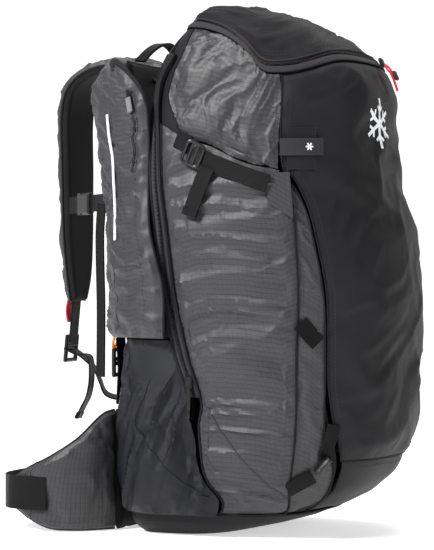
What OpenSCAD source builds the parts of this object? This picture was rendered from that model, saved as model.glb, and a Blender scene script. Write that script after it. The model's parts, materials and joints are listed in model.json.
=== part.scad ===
// Avalanche airbag backpack, standing upright on its flat base.
// +Z is up, the wearer stands on the +Y side, the front panel faces -Y,
// and the wearer's left is -X. The origin is the centre of the flat base.

/* [Bag] */
// Width of the bag at its widest
bag_width = 296; // [292:1:300]
// Height of the closed bag
bag_height = 596; // [593:1:599]
// Thickness of the shell fabric with its lining and foam
panel_t = 5; // [4:0.5:6]
// Thickness of the padded pillows beside the airbag
pillow_t = 10; // [8:1:12]

/* [Opening panels] */
// Height of the crease at the foot of the front panel
panel_hinge_z = 85; // [82:1:90]
// Gap along the edges of the front panel, as an angle seen from the bag's middle
panel_gap_deg = 1; // [0.8:0.1:1.4]
// Height of the crease at the front of the airbag cover
cover_hinge_z = 541; // [540:0.5:542]

/* [Harness] */
// Thickness of the shoulder straps
strap_t = 12; // [10:1:13]
// Thickness of the hip belt wings
belt_t = 14; // [12:1:15]
// Height of the sternum strap
sternum_z = 374; // [366:1:382]
// Width of the hip webbing
hip_webbing_w = 38; // [36:1:40]
// Width of the narrow webbing
narrow_webbing_w = 20; // [18:1:22]
// Thickness of every webbing
webbing_t = 2; // [1.6:0.1:2.2]

/* [Airbag system] */
// Height of the fan's axis
fan_z = 340; // [335:1:345]
// Diameter of the fan rotor
rotor_d = 84; // [80:1:86]
// Number of rotor blades
blades = 12; // [9:1:16]
// Diameter of the motor shaft
shaft_d = 6; // [5:0.5:7]
// Radial clearance between the shaft and the rotor
shaft_clearance = 0.05; // [0.03:0.01:0.08]

/* [Hidden] */

// Cross sections of the bag: height, half width, back y and front y
STATIONS = [
    [0, 100, 72, -34],
    [6, 111, 79, -62],
    [15, 121, 84, -98],
    [50, 132, 90, -170],
    [90, 138, 92, -203],
    [140, 143, 90, -215],
    [200, 146, 85, -216],
    [270, 148, 77, -219],
    [330, 148, 71, -211],
    [390, 146, 65, -194],
    [440, 142, 59, -188],
    [490, 136, 52, -186],
    [525, 130, 44, -175],
    [552, 122, 28, -144],
    [573, 109, 10, -107],
    [586, 94, -2, -78],
    [594, 58, -18, -54]];
nominal_width = 296;
nominal_height = 596;
width_scale = bag_width / nominal_width;
height_scale = bag_height / nominal_height;
back_power = 4;
front_power = 2.8;
middle_share = 0.6;

// Seams on the left side: height and angle round the bag
ZIP_SEAM = [[30, 200], [43, 197], [65, 186], [87, 181], [130, 178], [153, 179], [175, 176],
    [202, 172], [262, 165], [306, 162], [372, 159], [439, 155], [501, 149], [535, 156]];
SIDE_SEAM = [[26, 232], [50, 224], [79, 221], [155, 219], [263, 217], [317, 216],
    [370, 215], [405, 211], [521, 210]];
PANEL_SEAM = [[27, 246], [55, 241], [78, 239], [100, 236], [122, 233], [155, 230],
    [209, 228.5], [263, 226.5], [327, 223], [360, 221], [387, 217], [401, 212.5], [521, 211]];
// Lower hem of the airbag compartment: angle and height
PILLOW_HEM = [[150, 464], [160, 453], [168, 441], [181, 432], [197, 414], [211, 405]];
// Rear edge of the airbag compartment: share of its height and angle
PILLOW_REAR = [[0, 167], [0.25, 157], [0.5, 157], [0.75, 161], [1, 165]];
// Lower edge of the airbag cover: angle and height
COVER_EDGE = [[90, 577], [150, 577], [165, 575], [174, 572], [186, 562], [196, 544],
    [203, 523], [212, 520], [220, 523], [236, 534], [248, 537], [270, 538]];
cover_gap = 3;
band_h = 7;
base_top_z = 24;
seam_gap = 1.5;

// Shoulder straps: leading edge, middle and trailing edge of the strap's middle surface
LEFT_STRAP = [
    [[-34, 90, 498], [-68, 93, 498], [-104, 88, 494]],
    [[-36, 97, 528], [-72, 99, 528], [-108, 90, 522]],
    [[-46, 116, 535], [-82, 109, 534], [-116, 88, 528]],
    [[-60, 131, 522], [-95, 110, 520], [-122, 73, 514]],
    [[-69, 138, 498], [-100, 104, 496], [-124, 60, 490]],
    [[-74, 130, 450], [-104, 98, 447], [-127, 52, 442]],
    [[-76, 121, 401], [-108, 94, 401], [-132, 46, 401]],
    [[-80, 110, 340], [-123, 90, 340], [-149, 32, 340]],
    [[-84, 103, 280], [-136, 94, 280], [-159, 8, 280]],
    [[-86, 99, 220], [-140, 96, 220], [-161, 5, 220]]];
RIGHT_STRAP = [
    [[34, 90, 498], [68, 93, 498], [104, 88, 494]],
    [[34, 106, 531], [70, 107, 531], [105, 103, 527]],
    [[34, 142, 541], [70, 143, 541], [105, 140, 538]],
    [[34, 190, 541], [70, 191, 541], [105, 188, 538]],
    [[34, 225, 524], [70, 226, 524], [105, 223, 520]],
    [[35, 240, 490], [70, 240, 490], [104, 237, 488]],
    [[36, 240, 415], [70, 240, 415], [103, 237, 415]],
    [[38, 239, 340], [69, 239, 340], [99, 235, 340]],
    [[43, 237, 290], [67, 237, 290], [91, 233, 290]],
    [[50, 236, 258], [65, 236, 258], [80, 233, 258]]];

// Left wing of the hip belt: plan position, lower and upper edge
WING = [[-107, 110, 2, 130], [-128, 130, 2, 104], [-141, 158, 4, 84],
    [-139, 186, 14, 71], [-128, 206, 22, 61], [-116, 217, 24, 57]];
WING_HINGE = [-100, 105];
WING_TIP_LAP = [[-150, 158], [-148, 188], [-139, 213], [-110, 232], [-70, 238], [-30, 240]];
hip_webbing_z = 43;
buckle_y = 240;

fabric_grey = [0.36, 0.36, 0.37];
fabric_black = [0.19, 0.19, 0.2];
webbing_black = [0.12, 0.12, 0.13];
buckle_black = [0.08, 0.08, 0.09];
signal_red = [0.8, 0.08, 0.1];
metal_grey = [0.65, 0.66, 0.68];

// ---- curves and surfaces ----------------------------------------------------

function row_of(table, x, i = 0) =
    (i >= len(table) - 2 || x < table[i + 1][0]) ? i : row_of(table, x, i + 1);

function slope(table, k, j) =
    let(before = max(j - 1, 0), after = min(j + 1, len(table) - 1))
    (table[after][k] - table[before][k]) / (table[after][0] - table[before][0]);

// Smooth value of column k of a table at x
function smooth(table, x, k = 1) =
    let(i = row_of(table, x),
        h = table[i + 1][0] - table[i][0],
        s = min(max((x - table[i][0]) / h, 0), 1))
    (2 * pow(s, 3) - 3 * pow(s, 2) + 1) * table[i][k]
    + (pow(s, 3) - 2 * pow(s, 2) + s) * slope(table, k, i) * h
    + (3 * pow(s, 2) - 2 * pow(s, 3)) * table[i + 1][k]
    + (pow(s, 3) - pow(s, 2)) * slope(table, k, i + 1) * h;

function mix(a, b, t) = a + (b - a) * t;
function share(i, count) = i / (count - 1);
function unit(v) = v / norm(v);
function left_angle(phi) = phi > 270 ? 540 - phi : phi < 90 ? 180 - phi : phi;

// Point of the bag's skin at an angle and a height, set in by a depth
function skin(phi, z, inset = 0) =
    let(zn = z / height_scale,
        half = smooth(STATIONS, zn, 1) * width_scale - inset,
        back = smooth(STATIONS, zn, 2),
        front = smooth(STATIONS, zn, 3),
        centre = mix(front, back, middle_share),
        depth = (sin(phi) > 0 ? back - centre : centre - front) - inset,
        power = sin(phi) > 0 ? back_power : front_power,
        reach = pow(pow(abs(cos(phi) / half), power)
            + pow(abs(sin(phi) / depth), power), -1 / power))
    [reach * cos(phi), centre + reach * sin(phi), z];

function cover_edge_z(phi) = smooth(COVER_EDGE, left_angle(phi));
function bag_back_y(z) = smooth(STATIONS, z, 2);

// Unit normal of a grid of points, by central differences
function grid_normal(g, i, j) =
    let(rows = len(g), cols = len(g[0]),
        up = g[min(i + 1, rows - 1)][j] - g[max(i - 1, 0)][j],
        along = g[i][min(j + 1, cols - 1)] - g[i][max(j - 1, 0)])
    unit(cross(along, up));

function offset_grid(g, distance) =
    [for (i = [0:len(g) - 1]) [for (j = [0:len(g[0]) - 1])
        g[i][j] + distance * grid_normal(g, i, j)]];

function bezier(a, b, c, t) = pow(1 - t, 2) * a + 2 * t * (1 - t) * b + pow(t, 2) * c;

// Closed sheet between an outer and an inner grid of points
module sheet(outer, inner) {
    rows = len(outer);
    cols = len(outer[0]);
    n = rows * cols;
    last = n - cols;
    faces = concat(
        [for (i = [0:rows - 2]) for (j = [0:cols - 2])
            let(a = i * cols + j, b = a + 1, d = a + cols, c = d + 1)
            each [[a, d, c], [a, c, b], [n + a, n + c, n + d], [n + a, n + b, n + c]]],
        [for (j = [0:cols - 2]) let(k = last + j)
            each [[j, j + 1, n + j + 1], [j, n + j + 1, n + j],
                [k + 1, k, n + k], [k + 1, n + k, n + k + 1]]],
        [for (i = [0:rows - 2])
            let(a = i * cols, d = a + cols, b = a + cols - 1, c = b + cols)
            each [[d, a, n + a], [d, n + a, n + d], [b, c, n + c], [b, n + c, n + b]]]);
    polyhedron(points = [for (grid = [outer, inner]) for (row = grid) each row],
        faces = faces);
}

// Sheet of one thickness on both sides of a grid
module pad(grid, thickness) {
    sheet(offset_grid(grid, thickness / 2), offset_grid(grid, -thickness / 2));
}

function ring_sides(rows, cols, start, flip) =
    [for (i = [0:rows - 2]) for (j = [0:cols - 1])
        let(k = (j + 1) % cols, a = start + i * cols + j, b = start + i * cols + k,
            c = b + cols, d = a + cols)
        each flip ? [[a, c, d], [a, b, c]] : [[a, d, c], [a, c, b]]];

function ring_middle(ring) = [for (k = [0:2]) [for (p = ring) p[k]] * [for (p = ring) 1]]
    / len(ring);

// Solid through a list of rings, closed at both ends
module loft(rings) {
    rows = len(rings);
    cols = len(rings[0]);
    n = rows * cols;
    last = n - cols;
    faces = concat(ring_sides(rows, cols, 0, false),
        [for (j = [0:cols - 1]) let(k = (j + 1) % cols)
            each [[j, k, n], [last + k, last + j, n + 1]]]);
    polyhedron(points = [for (ring = rings) each ring,
        ring_middle(rings[0]), ring_middle(rings[rows - 1])], faces = faces);
}

// Cup whose floor is the first ring and whose rim is the last
module cup(outer, inner) {
    rows = len(outer);
    cols = len(outer[0]);
    n = rows * cols;
    last = n - cols;
    faces = concat(ring_sides(rows, cols, 0, false), ring_sides(rows, cols, n, true),
        [for (j = [0:cols - 1]) let(k = (j + 1) % cols)
            each [[j, k, 2 * n], [n + k, n + j, 2 * n + 1],
                [last + k, last + j, n + last + j],
                [last + k, n + last + j, n + last + k]]]);
    polyhedron(points = [for (grid = [outer, inner]) for (row = grid) each row,
        ring_middle(outer[0]), ring_middle(inner[0])], faces = faces);
}

// Hoop between an outer and an inner band of rings
module hoop(outer, inner) {
    rows = len(outer);
    cols = len(outer[0]);
    n = rows * cols;
    last = n - cols;
    faces = concat(ring_sides(rows, cols, 0, false), ring_sides(rows, cols, n, true),
        [for (j = [0:cols - 1]) let(k = (j + 1) % cols)
            each [[j, k, n + k], [j, n + k, n + j],
                [last + k, last + j, n + last + j],
                [last + k, n + last + j, n + last + k]]]);
    polyhedron(points = [for (grid = [outer, inner]) for (row = grid) each row],
        faces = faces);
}

function path_tangent(path, i) =
    unit(path[min(i + 1, len(path) - 1)] - path[max(i - 1, 0)]);

// Flat webbing along a path; across is the direction of its width
module ribbon(path, across, width, thickness = webbing_t) {
    loft([for (i = [0:len(path) - 1])
        let(t = path_tangent(path, i),
            w = unit(across - t * (across * t)) * width / 2,
            h = unit(cross(t, w)) * thickness / 2,
            p = path[i])
        [p + w + h, p - w + h, p - w - h, p + w - h]]);
}

// Round cable along a path
module cable(path, diameter) {
    sides = 8;
    across = [1, 0, 0];
    loft([for (i = [0:len(path) - 1])
        let(t = path_tangent(path, i),
            u = unit(across - t * (across * t)),
            v = cross(t, u))
        [for (k = [0:sides - 1])
            path[i] + diameter / 2 * (u * cos(k * 360 / sides) + v * sin(k * 360 / sides))]]);
}

// Piece of the bag's skin: rows of height share t, columns of angle share s
module skin_patch(rows, cols, angle, height, outer_inset, inner_inset) {
    grid = function(inset) [for (i = [0:rows - 1]) [for (j = [0:cols - 1])
        let(t = share(i, rows), s = share(j, cols), phi = angle(s, t))
        skin(phi, height(phi, t), inset(s, t))]];
    sheet(grid(outer_inset), grid(inner_inset));
}

// The right half of a symmetrical pair
module other_side() {
    mirror([1, 0, 0]) children();
}

// Block with rounded vertical edges
module rounded_block(size, radius) {
    linear_extrude(size[2])
        hull()
            for (x = [-1, 1])
                for (y = [-1, 1])
                    translate([x * (size[0] / 2 - radius), y * (size[1] / 2 - radius)])
                        circle(radius, $fn = 24);
}

// ---- bag shell --------------------------------------------------------------

ring_cols = 40;
function ring_at(z, inset) =
    [for (j = [0:ring_cols - 1]) skin(j * 360 / ring_cols, z, inset)];

module base_panel() {
    heights = [0, 5, 11, 17, base_top_z];
    floor_t = 6;
    color(fabric_black)
        cup([for (z = heights) ring_at(z, 0)],
            [for (z = heights)
                [for (p = ring_at(z, panel_t)) [p[0], p[1], max(z, floor_t)]]]);
}

module lower_front_panel() {
    seam = function(t) smooth(PANEL_SEAM, mix(base_top_z, panel_hinge_z, t))
        + panel_gap_deg;
    color(fabric_black)
        skin_patch(5, 13,
            function(s, t) mix(seam(t), 540 - seam(t), s),
            function(phi, t) mix(base_top_z + seam_gap, panel_hinge_z - 3, t),
            function(s, t) 0, function(s, t) panel_t);
}

module side_panel() {
    low = base_top_z + seam_gap;
    zip = function(t) smooth(ZIP_SEAM, mix(low, 450, t)) + 1.4;
    seam = function(t) smooth(SIDE_SEAM, mix(low, 404, t)) - 0.3;
    color(fabric_grey)
        skin_patch(22, 8,
            function(s, t) mix(zip(t), seam(t), s),
            function(phi, t) mix(low, smooth(PILLOW_HEM, phi) - seam_gap, t),
            function(s, t) 0, function(s, t) panel_t);
}

gusset_high = 388;

module gusset() {
    color(fabric_grey)
        skin_patch(10, 3,
            function(s, t) let(z = mix(base_top_z, gusset_high, t))
                mix(smooth(SIDE_SEAM, z) + 0.8, smooth(PANEL_SEAM, z) - 0.3, s),
            function(phi, t) mix(base_top_z + seam_gap, gusset_high, t),
            function(s, t) 1, function(s, t) 1 + panel_t);
}

module wing_pillow() {
    color(fabric_grey)
        skin_patch(8, 8,
            function(s, t) mix(smooth(PILLOW_REAR, t), 210, s),
            function(phi, t) mix(smooth(PILLOW_HEM, phi),
                cover_edge_z(phi) - cover_gap - band_h - seam_gap, t),
            function(s, t) 0, function(s, t) pillow_t);
}

module zip_band() {
    band = function(drop, inset) [for (j = [0:ring_cols - 1])
        let(phi = j * 360 / ring_cols)
        skin(phi, cover_edge_z(phi) - drop, inset)];
    color(fabric_grey)
        hoop([band(cover_gap + band_h, 0), band(cover_gap, 0)],
            [band(cover_gap + band_h, panel_t), band(cover_gap, panel_t)]);
}

main_zip_low = 156;
main_zip_high = 535;

module main_zip() {
    tape_deg = 4.5;
    height = function(t) mix(main_zip_low, main_zip_high, t);
    zip = function(t) smooth(ZIP_SEAM, height(t));
    color(buckle_black)
        skin_patch(24, 3,
            function(s, t) zip(t) - tape_deg * (1 - s),
            function(phi, t) height(t),
            function(s, t) 0, function(s, t) 3);
}

// Angle where the rear module's shell meets the side, at a height
function rear_edge(z) = smooth(ZIP_SEAM, max(z, 230)) - 5.2;

module back_shell() {
    top = 542;
    color(fabric_black)
        skin_patch(14, 13,
            function(s, t) let(edge = rear_edge(mix(base_top_z, top, t)))
                mix(180 - edge, edge, s),
            function(phi, t) mix(base_top_z + seam_gap, top, t),
            function(s, t) 0, function(s, t) 3);
}

module side_cover() {
    low = base_top_z + seam_gap;
    high = 217;
    edge = function(t) let(z = mix(low, high, t))
        smooth(ZIP_SEAM, z) - (z > main_zip_low - 6 ? 5.5 : 1);
    color(fabric_black)
        skin_patch(8, 8,
            function(s, t) mix(126, edge(t), s),
            function(phi, t) mix(low, high, t),
            function(s, t) -5 - 8 * sin(180 * s) * sin(min(180 * t + 20, 180)),
            function(s, t) -2.5);
}

module back_pad() {
    low = 140;
    high = 452;
    half = 58;
    grid = [for (i = [0:9]) [for (j = [0:6])
        let(s = 2 * share(j, 7) - 1, z = mix(low, high, share(i, 10)))
        [-s * half, bag_back_y(z) + 10 - 3 * pow(abs(s), 4), z]]];
    color(fabric_black) pad(grid, strap_t);
}

module lumbar_pad() {
    half = 92;
    high = 136;
    grid = [for (i = [0:5]) [for (j = [0:6])
        let(s = 2 * share(j, 7) - 1, z = mix(2, high, share(i, 6)))
        [-s * half, 100 + 4 * sin(180 * share(i, 6)) - 2 * pow(s, 2), z]]];
    color(fabric_black) pad(grid, strap_t);
}

module yoke() {
    half = 112;
    grid = [for (i = [0:5]) [for (j = [0:6])
        let(s = 2 * share(j, 7) - 1, z = mix(458, 530, share(i, 6)))
        [-s * half, 74 + 6 * share(i, 6) - 6 * pow(abs(s), 4), z]]];
    color(fabric_black) pad(grid, 9);
}

// ---- frame and compartments -------------------------------------------------

module frame_sheet() {
    grid = [for (i = [0:9]) [for (x = [80, 0, -80])
        let(z = mix(50, 460, share(i, 10)))
        [x, bag_back_y(z) - 12, z]]];
    color(buckle_black) pad(grid, 1.6);
}

module frame_stays() {
    stay_x = 55;
    color(metal_grey)
        for (side = [-1, 1])
            loft([for (i = [0:9])
                let(z = mix(65, 428, share(i, 10)), y = bag_back_y(z) - 15.5)
                [[side * stay_x + 6, y + 1.5, z], [side * stay_x - 6, y + 1.5, z],
                    [side * stay_x - 6, y - 1.5, z], [side * stay_x + 6, y - 1.5, z]]]);
}

wall_y = -16;
wall_low = 34;
wall_high = 430;

module module_wall() {
    side_gap = 12;
    edge = [for (t = [0:0.25:1]) let(z = mix(wall_low, wall_high, t))
        [smooth(STATIONS, z) - side_gap, z]];
    color(fabric_black)
        translate([0, wall_y, 0])
            rotate([90, 0, 0])
                linear_extrude(2, center = true)
                    difference() {
                        polygon(concat(edge,
                            [for (i = [len(edge) - 1:-1:0]) [-edge[i][0], edge[i][1]]]));
                        translate([0, fan_z]) circle(d = housing_d, $fn = 64);
                    }
}

module tool_sleeve() {
    sleeve_w = 184;
    sleeve_h = 260;
    color(fabric_grey)
        translate([0, -150, 92])
            rotate([90, 0, 0])
                linear_extrude(3)
                    difference() {
                        translate([-sleeve_w / 2, 0]) square([sleeve_w, sleeve_h]);
                        translate([0, sleeve_h + 20]) circle(60, $fn = 64);
                    }
}

module airbag_tray() {
    tray_z = 434;
    duct_hole_w = 74;
    duct_hole_d = 44;
    color(fabric_black)
        translate([0, 0, tray_z])
            linear_extrude(2)
                difference() {
                    polygon([for (j = [0:ring_cols - 1])
                        let(p = skin(j * 360 / ring_cols, tray_z, 16)) [p[0], p[1]]]);
                    translate([-duct_hole_w / 2, 14 - duct_hole_d / 2])
                        square([duct_hole_w, duct_hole_d]);
                }
}

module folded_airbag() {
    color([0.78, 0.3, 0.1])
        loft([for (z = [452, 490, 525, 552, 573, 582])
            [for (j = [0:2:ring_cols - 1])
                skin(j * 360 / ring_cols, z, 17)]]);
}

// ---- airbag system ----------------------------------------------------------

fan_y = 12;
housing_d = rotor_d + 20;
housing_depth = 44;
hub_d = 34;

module air_duct() {
    low = fan_z + housing_d / 2 - 6;
    duct_h = 450 - low;
    color(buckle_black)
        translate([0, fan_y, low])
            linear_extrude(duct_h)
                difference() {
                    square([70, 40], center = true);
                    square([66, 36], center = true);
                }
}

module fan_housing() {
    wall = 2.5;
    rim = housing_depth / 2;
    color(buckle_black)
        translate([0, fan_y, fan_z])
            rotate([90, 0, 0])
                difference() {
                    translate([0, 0, -rim]) cylinder(housing_depth, d = housing_d, $fn = 64);
                    translate([0, 0, wall - rim])
                        cylinder(housing_depth, d = housing_d - 2 * wall, $fn = 64);
                    translate([-32, housing_d / 2 - 20, wall - rim])
                        cube([64, 40, housing_depth - 2 * wall]);
                }
}

module fan_motor() {
    motor_len = 18;
    shaft_len = 24;
    color(metal_grey)
        translate([0, fan_y + housing_depth / 2 - 2.5, fan_z])
            rotate([90, 0, 0]) {
                cylinder(motor_len, d = 30, $fn = 48);
                cylinder(motor_len + shaft_len - 6, d = shaft_d, $fn = 32);
            }
}

module fan_rotor() {
    rotor_len = 16;
    rotor_y = fan_y + 0.5;
    blade_t = 1.6;
    color([0.5, 0.5, 0.52])
        translate([0, rotor_y, fan_z])
            rotate([90, 0, 0])
                difference() {
                    union() {
                        cylinder(rotor_len, d = hub_d, $fn = 48);
                        cylinder(2, d = rotor_d, $fn = 64);
                        for (k = [0:blades - 1])
                            rotate([0, 0, k * 360 / blades])
                                translate([hub_d / 2 - 2, -blade_t / 2, 0])
                                    cube([rotor_d / 2 - hub_d / 2, blade_t, rotor_len]);
                    }
                    translate([0, 0, -1])
                        cylinder(rotor_len + 2, r = shaft_d / 2 + shaft_clearance, $fn = 32);
                }
}

module inlet_grille() {
    grille_t = 2;
    spokes = 8;
    color(buckle_black)
        translate([0, fan_y - housing_depth / 2 - 0.2, fan_z])
            rotate([90, 0, 0])
                linear_extrude(grille_t) {
                    for (d = [housing_d, housing_d * 0.72, housing_d * 0.44])
                        difference() {
                            circle(d = d, $fn = 64);
                            circle(d = d - 7, $fn = 64);
                        }
                    for (k = [0:spokes - 1])
                        rotate(k * 360 / spokes)
                            translate([housing_d * 0.44 / 2 - 3, -1.5])
                                square([housing_d * 0.56 / 2 + 1, 3]);
                }
}

battery_size = [140, 36, 62];
battery_z = 60;
control_size = [96, 30, 70];
control_z = battery_z + battery_size[2] + 6;

module battery_pack() {
    color([0.15, 0.17, 0.2])
        translate([0, 20, battery_z]) rounded_block(battery_size, 6);
}

module control_unit() {
    color([0.22, 0.22, 0.24])
        translate([0, 22, control_z]) {
            rounded_block(control_size, 4);
            translate([20, 0, control_size[2]]) cylinder(5, d = 12, $fn = 24);
            translate([-25, 0, control_size[2]]) cylinder(5, d = 9, $fn = 24);
        }
}

cable_d = 5;
control_top_z = control_z + control_size[2] + 5;
POWER_ROUTE = [[20, 22, control_top_z], [20, 22, 222], [28, 25, 240], [46, 30, 265],
    [46, 38, 285], [34, 38, 300], [20, 38, 318], [8, 38, 332]];
TRIGGER_ROUTE = [[-25, 22, control_top_z], [-26, 22, 222], [-45, 25, 238], [-75, 31, 255],
    [-92, 38, 282], [-98, 42, 330], [-98, 43, 400], [-96, 42, 450], [-80, 42, 480],
    [-58, 50, 500], [-46, 70, 512], [-45, 90, 520], [-50, 103, 532], [-58, 114, 538],
    [-70, 125, 526], [-78, 127, 496], [-83, 120, 447], [-85, 113, 401], [-88, 106, 362],
    [-80, 107, 346], [-72, 107, 336.5]];

module power_cable() {
    color(buckle_black) cable(POWER_ROUTE, cable_d);
}

module trigger_cable() {
    color(buckle_black) cable(TRIGGER_ROUTE, cable_d);
}

// ---- shoulder straps --------------------------------------------------------

strap_cols = 5;
function strap_grid(rows) =
    [for (r = rows) [for (j = [0:strap_cols - 1])
        bezier(r[0], r[1], r[2], share(j, strap_cols))]];

module shoulder_strap_left() {
    color(fabric_grey) pad(strap_grid(LEFT_STRAP), strap_t);
}

module shoulder_strap_right() {
    color(fabric_grey) pad(strap_grid(RIGHT_STRAP), strap_t + 4);
}

module strap_webbing_left() {
    color(webbing_black)
        ribbon([[-80, 100, 221], [-74, 102, 205], [-72, 102, 180], [-72, 104, 142]],
            [1, 0, 0], narrow_webbing_w);
}

module strap_webbing_right() {
    color(webbing_black) {
        ribbon([[66, 236, 254], [66, 240, 222], [66, 241, 206]], [1, 0, 0],
            narrow_webbing_w);
        ribbon([[68, 241, 198], [70, 227, 188], [74, 216, 176], [80, 211, 160],
            [88, 207, 144], [96, 190, 138], [104, 158, 137], [108, 125, 140],
            [107, 108, 143], [107, 101, 145]], [1, 0.4, 0.2], narrow_webbing_w);
        ribbon([[60, 243, 198], [55, 230, 194], [52, 211, 190], [52, 208, 167],
            [52, 212, 143], [52, 219, 130], [52, 226, 117]], [1, 0.2, 0],
            narrow_webbing_w);
    }
}

// Three-bar lock that holds a webbing end, centred on its middle bar
module ladder_lock() {
    lock_h = 34;
    rotate([90, 0, 0])
        linear_extrude(5, center = true)
            difference() {
                square([narrow_webbing_w + 9, lock_h], center = true);
                for (y = [-9, 5])
                    translate([0, y + 2]) square([narrow_webbing_w + 1, 8], center = true);
            }
}

module ladder_locks() {
    color(buckle_black) {
        translate([66, 244, 200]) rotate([-6, 0, 0]) ladder_lock();
        translate([-72, 106, 190]) ladder_lock();
    }
}

handle_x = -72;
handle_y = 107;
handle_top = 320;
handle_len = 46;
button_up = 24;

module trigger_socket() {
    tab = [14, 3, 12];
    color(buckle_black)
        translate([handle_x, handle_y, handle_top + 0.5]) {
            cylinder(16, d = 13, $fn = 32);
            translate([-tab[0], -tab[1] / 2, 2]) cube(tab);
        }
}

module trigger_handle() {
    neck_d = 8;
    color(signal_red)
        translate([handle_x, handle_y, handle_top - handle_len]) {
            difference() {
                rounded_block([12, 16, handle_len - 6], 5);
                translate([0, 7, button_up])
                    rotate([-90, 0, 0])
                        cylinder(4, d = 9.4, $fn = 32);
            }
            cylinder(handle_len, d = neck_d, $fn = 32);
        }
}

module power_button() {
    color([0.9, 0.9, 0.9])
        translate([handle_x, handle_y + 8.6, handle_top - handle_len + button_up])
            rotate([-90, 0, 0])
                cylinder(2, d = 8.8, $fn = 32);
}

sternum_left = [-70, 121];
sternum_right = [26, 222];

sternum_dir = unit(sternum_right - sternum_left);
sternum_turn = atan2(sternum_dir[1], sternum_dir[0]);
sternum_buckle_at = sternum_left + 78 * sternum_dir;
sternum_span = 146;

module sternum_strap() {
    tail_low = 172;
    half = 14;
    web_end = sternum_buckle_at - half * sternum_dir;
    color(webbing_black) {
        ribbon([[sternum_left[0], sternum_left[1], sternum_z],
            [web_end[0], web_end[1], sternum_z]], [0, 0, 1], narrow_webbing_w);
        far_start = sternum_buckle_at + 18 * sternum_dir;
        far_end = sternum_left + sternum_span * sternum_dir;
        ribbon([[far_start[0], far_start[1], sternum_z],
            [far_end[0], far_end[1], sternum_z]], [0, 0, 1], narrow_webbing_w);
        ribbon([[-69, 130, sternum_z - 2], [-66, 134, sternum_z - 40],
            [-65, 133, 250], [-66, 133, tail_low]], [0.5, 1, 0], narrow_webbing_w - 4);
        translate([sternum_buckle_at[0], sternum_buckle_at[1], sternum_z])
            rotate([0, 0, sternum_turn])
                difference() {
                    cube([2 * half, 9, 26], center = true);
                    translate([4, 0, 0]) cube([24, 5.4, 18], center = true);
                }
    }
}

module sternum_buckle() {
    slot_play = 0.6;
    prong = [16.5, 1.1, 4];
    color(buckle_black)
        translate([sternum_buckle_at[0], sternum_buckle_at[1], sternum_z])
            rotate([0, 0, sternum_turn]) {
                difference() {
                    translate([15, -3.5, -13]) cube([12, 7, 26]);
                    translate([14, -webbing_t / 2 - slot_play, -11])
                        cube([14, webbing_t + 2 * slot_play, 22]);
                }
                for (z = [-6, 6])
                    translate([-1, 1.5, z - prong[2] / 2]) cube(prong);
            }
}

// ---- hip belt ---------------------------------------------------------------

module hip_wing() {
    cols = 4;
    grid = [for (row = WING) [for (j = [0:cols - 1])
        [row[0], row[1], mix(row[2], row[3], share(j, cols))]]];
    color(fabric_grey) pad(grid, belt_t);
}

module hip_webbing() {
    color(webbing_black)
        ribbon([for (p = WING_TIP_LAP) [p[0], p[1], hip_webbing_z]], [0, 0, 1],
            hip_webbing_w);
}

buckle_h = 48;
buckle_t = 12;
socket_depth = 22;

module hip_buckle_female() {
    wall = 3;
    color(buckle_black)
        translate([-8, buckle_y, hip_webbing_z])
            difference() {
                cube([40, buckle_t, buckle_h], center = true);
                translate([20 - socket_depth / 2 + 0.5, 0, 0])
                    cube([socket_depth + 1, buckle_t - 2 * wall, buckle_h - 2 * wall],
                        center = true);
            }
}

module hip_buckle_male() {
    prong_len = 17;
    color(buckle_black)
        translate([12.5, buckle_y, hip_webbing_z]) {
            translate([0, -5, -buckle_h / 2]) cube([16, 10, buckle_h]);
            for (z = [-13, 13])
                translate([-prong_len, -1.2, z - 3]) cube([prong_len + 0.5, 2.4, 6]);
        }
}

// ---- straps and buckles on the bag ------------------------------------------

// Webbing that lies on the bag's skin from one angle and height to another
module skin_strap(start, end, width, lift = 2, thickness = webbing_t) {
    steps = 7;
    ribbon([for (i = [0:steps - 1])
        let(s = share(i, steps))
        skin(mix(start[0], end[0], s), mix(start[1], end[1], s), -lift)],
        [0, 0, 1], width, thickness);
}

buckle_angle = 175;
buckle_z = 422;
buckle_lift = 6.5;
buckle_tilt = 22;

module compression_strap() {
    color(webbing_black) {
        skin_strap([165.5, 440], [172, 432], narrow_webbing_w, 2);
        skin_strap([182, 411], [207, 388], narrow_webbing_w, 2.5);
        skin_strap([183, 402], [174, 356], narrow_webbing_w - 2, 5.5);
    }
}

module compression_buckle() {
    frame_w = 28;
    frame_h = 25;
    bar = 4;
    color(buckle_black)
        translate(skin(buckle_angle, buckle_z, -buckle_lift))
            rotate([buckle_tilt, 0, 0])
                rotate([90, 0, 90])
                    linear_extrude(bar, center = true)
                        difference() {
                            square([frame_h, frame_w], center = true);
                            for (x = [-1, 1])
                                translate([x * (frame_h - bar) / 4, 0])
                                    square([(frame_h - 3 * bar) / 2, frame_w - 2 * bar],
                                        center = true);
                        }
}

module lower_straps() {
    color(webbing_black)
        for (side = [0, 1])
            mirror([side, 0, 0]) {
                skin_strap([222, 56], [229, 72], narrow_webbing_w - 5, 4.4);
                skin_strap([229.5, 75], [234, 97], narrow_webbing_w, 5.5, 5);
            }
}

// ---- moving panels ----------------------------------------------------------

module front_panel() {
    low = panel_hinge_z + 3;
    corner_drop = 8;
    nominal = function(t) mix(low, 500.5, t);
    seam = function(t) smooth(PANEL_SEAM, nominal(t)) + panel_gap_deg;
    top = function(phi) cover_edge_z(phi) - cover_gap - band_h - 1.5
        - corner_drop * pow((270 - left_angle(phi)) / 58, 4);
    color(fabric_black)
        skin_patch(13, 15,
            function(s, t) mix(seam(t), 540 - seam(t), s),
            function(phi, t) mix(low, top(phi), t),
            function(s, t) 0, function(s, t) panel_t);
}

module gear_tag() {
    color(fabric_black)
        skin_strap([213.5, 430], [227, 430], 17, 2);
}

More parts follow.
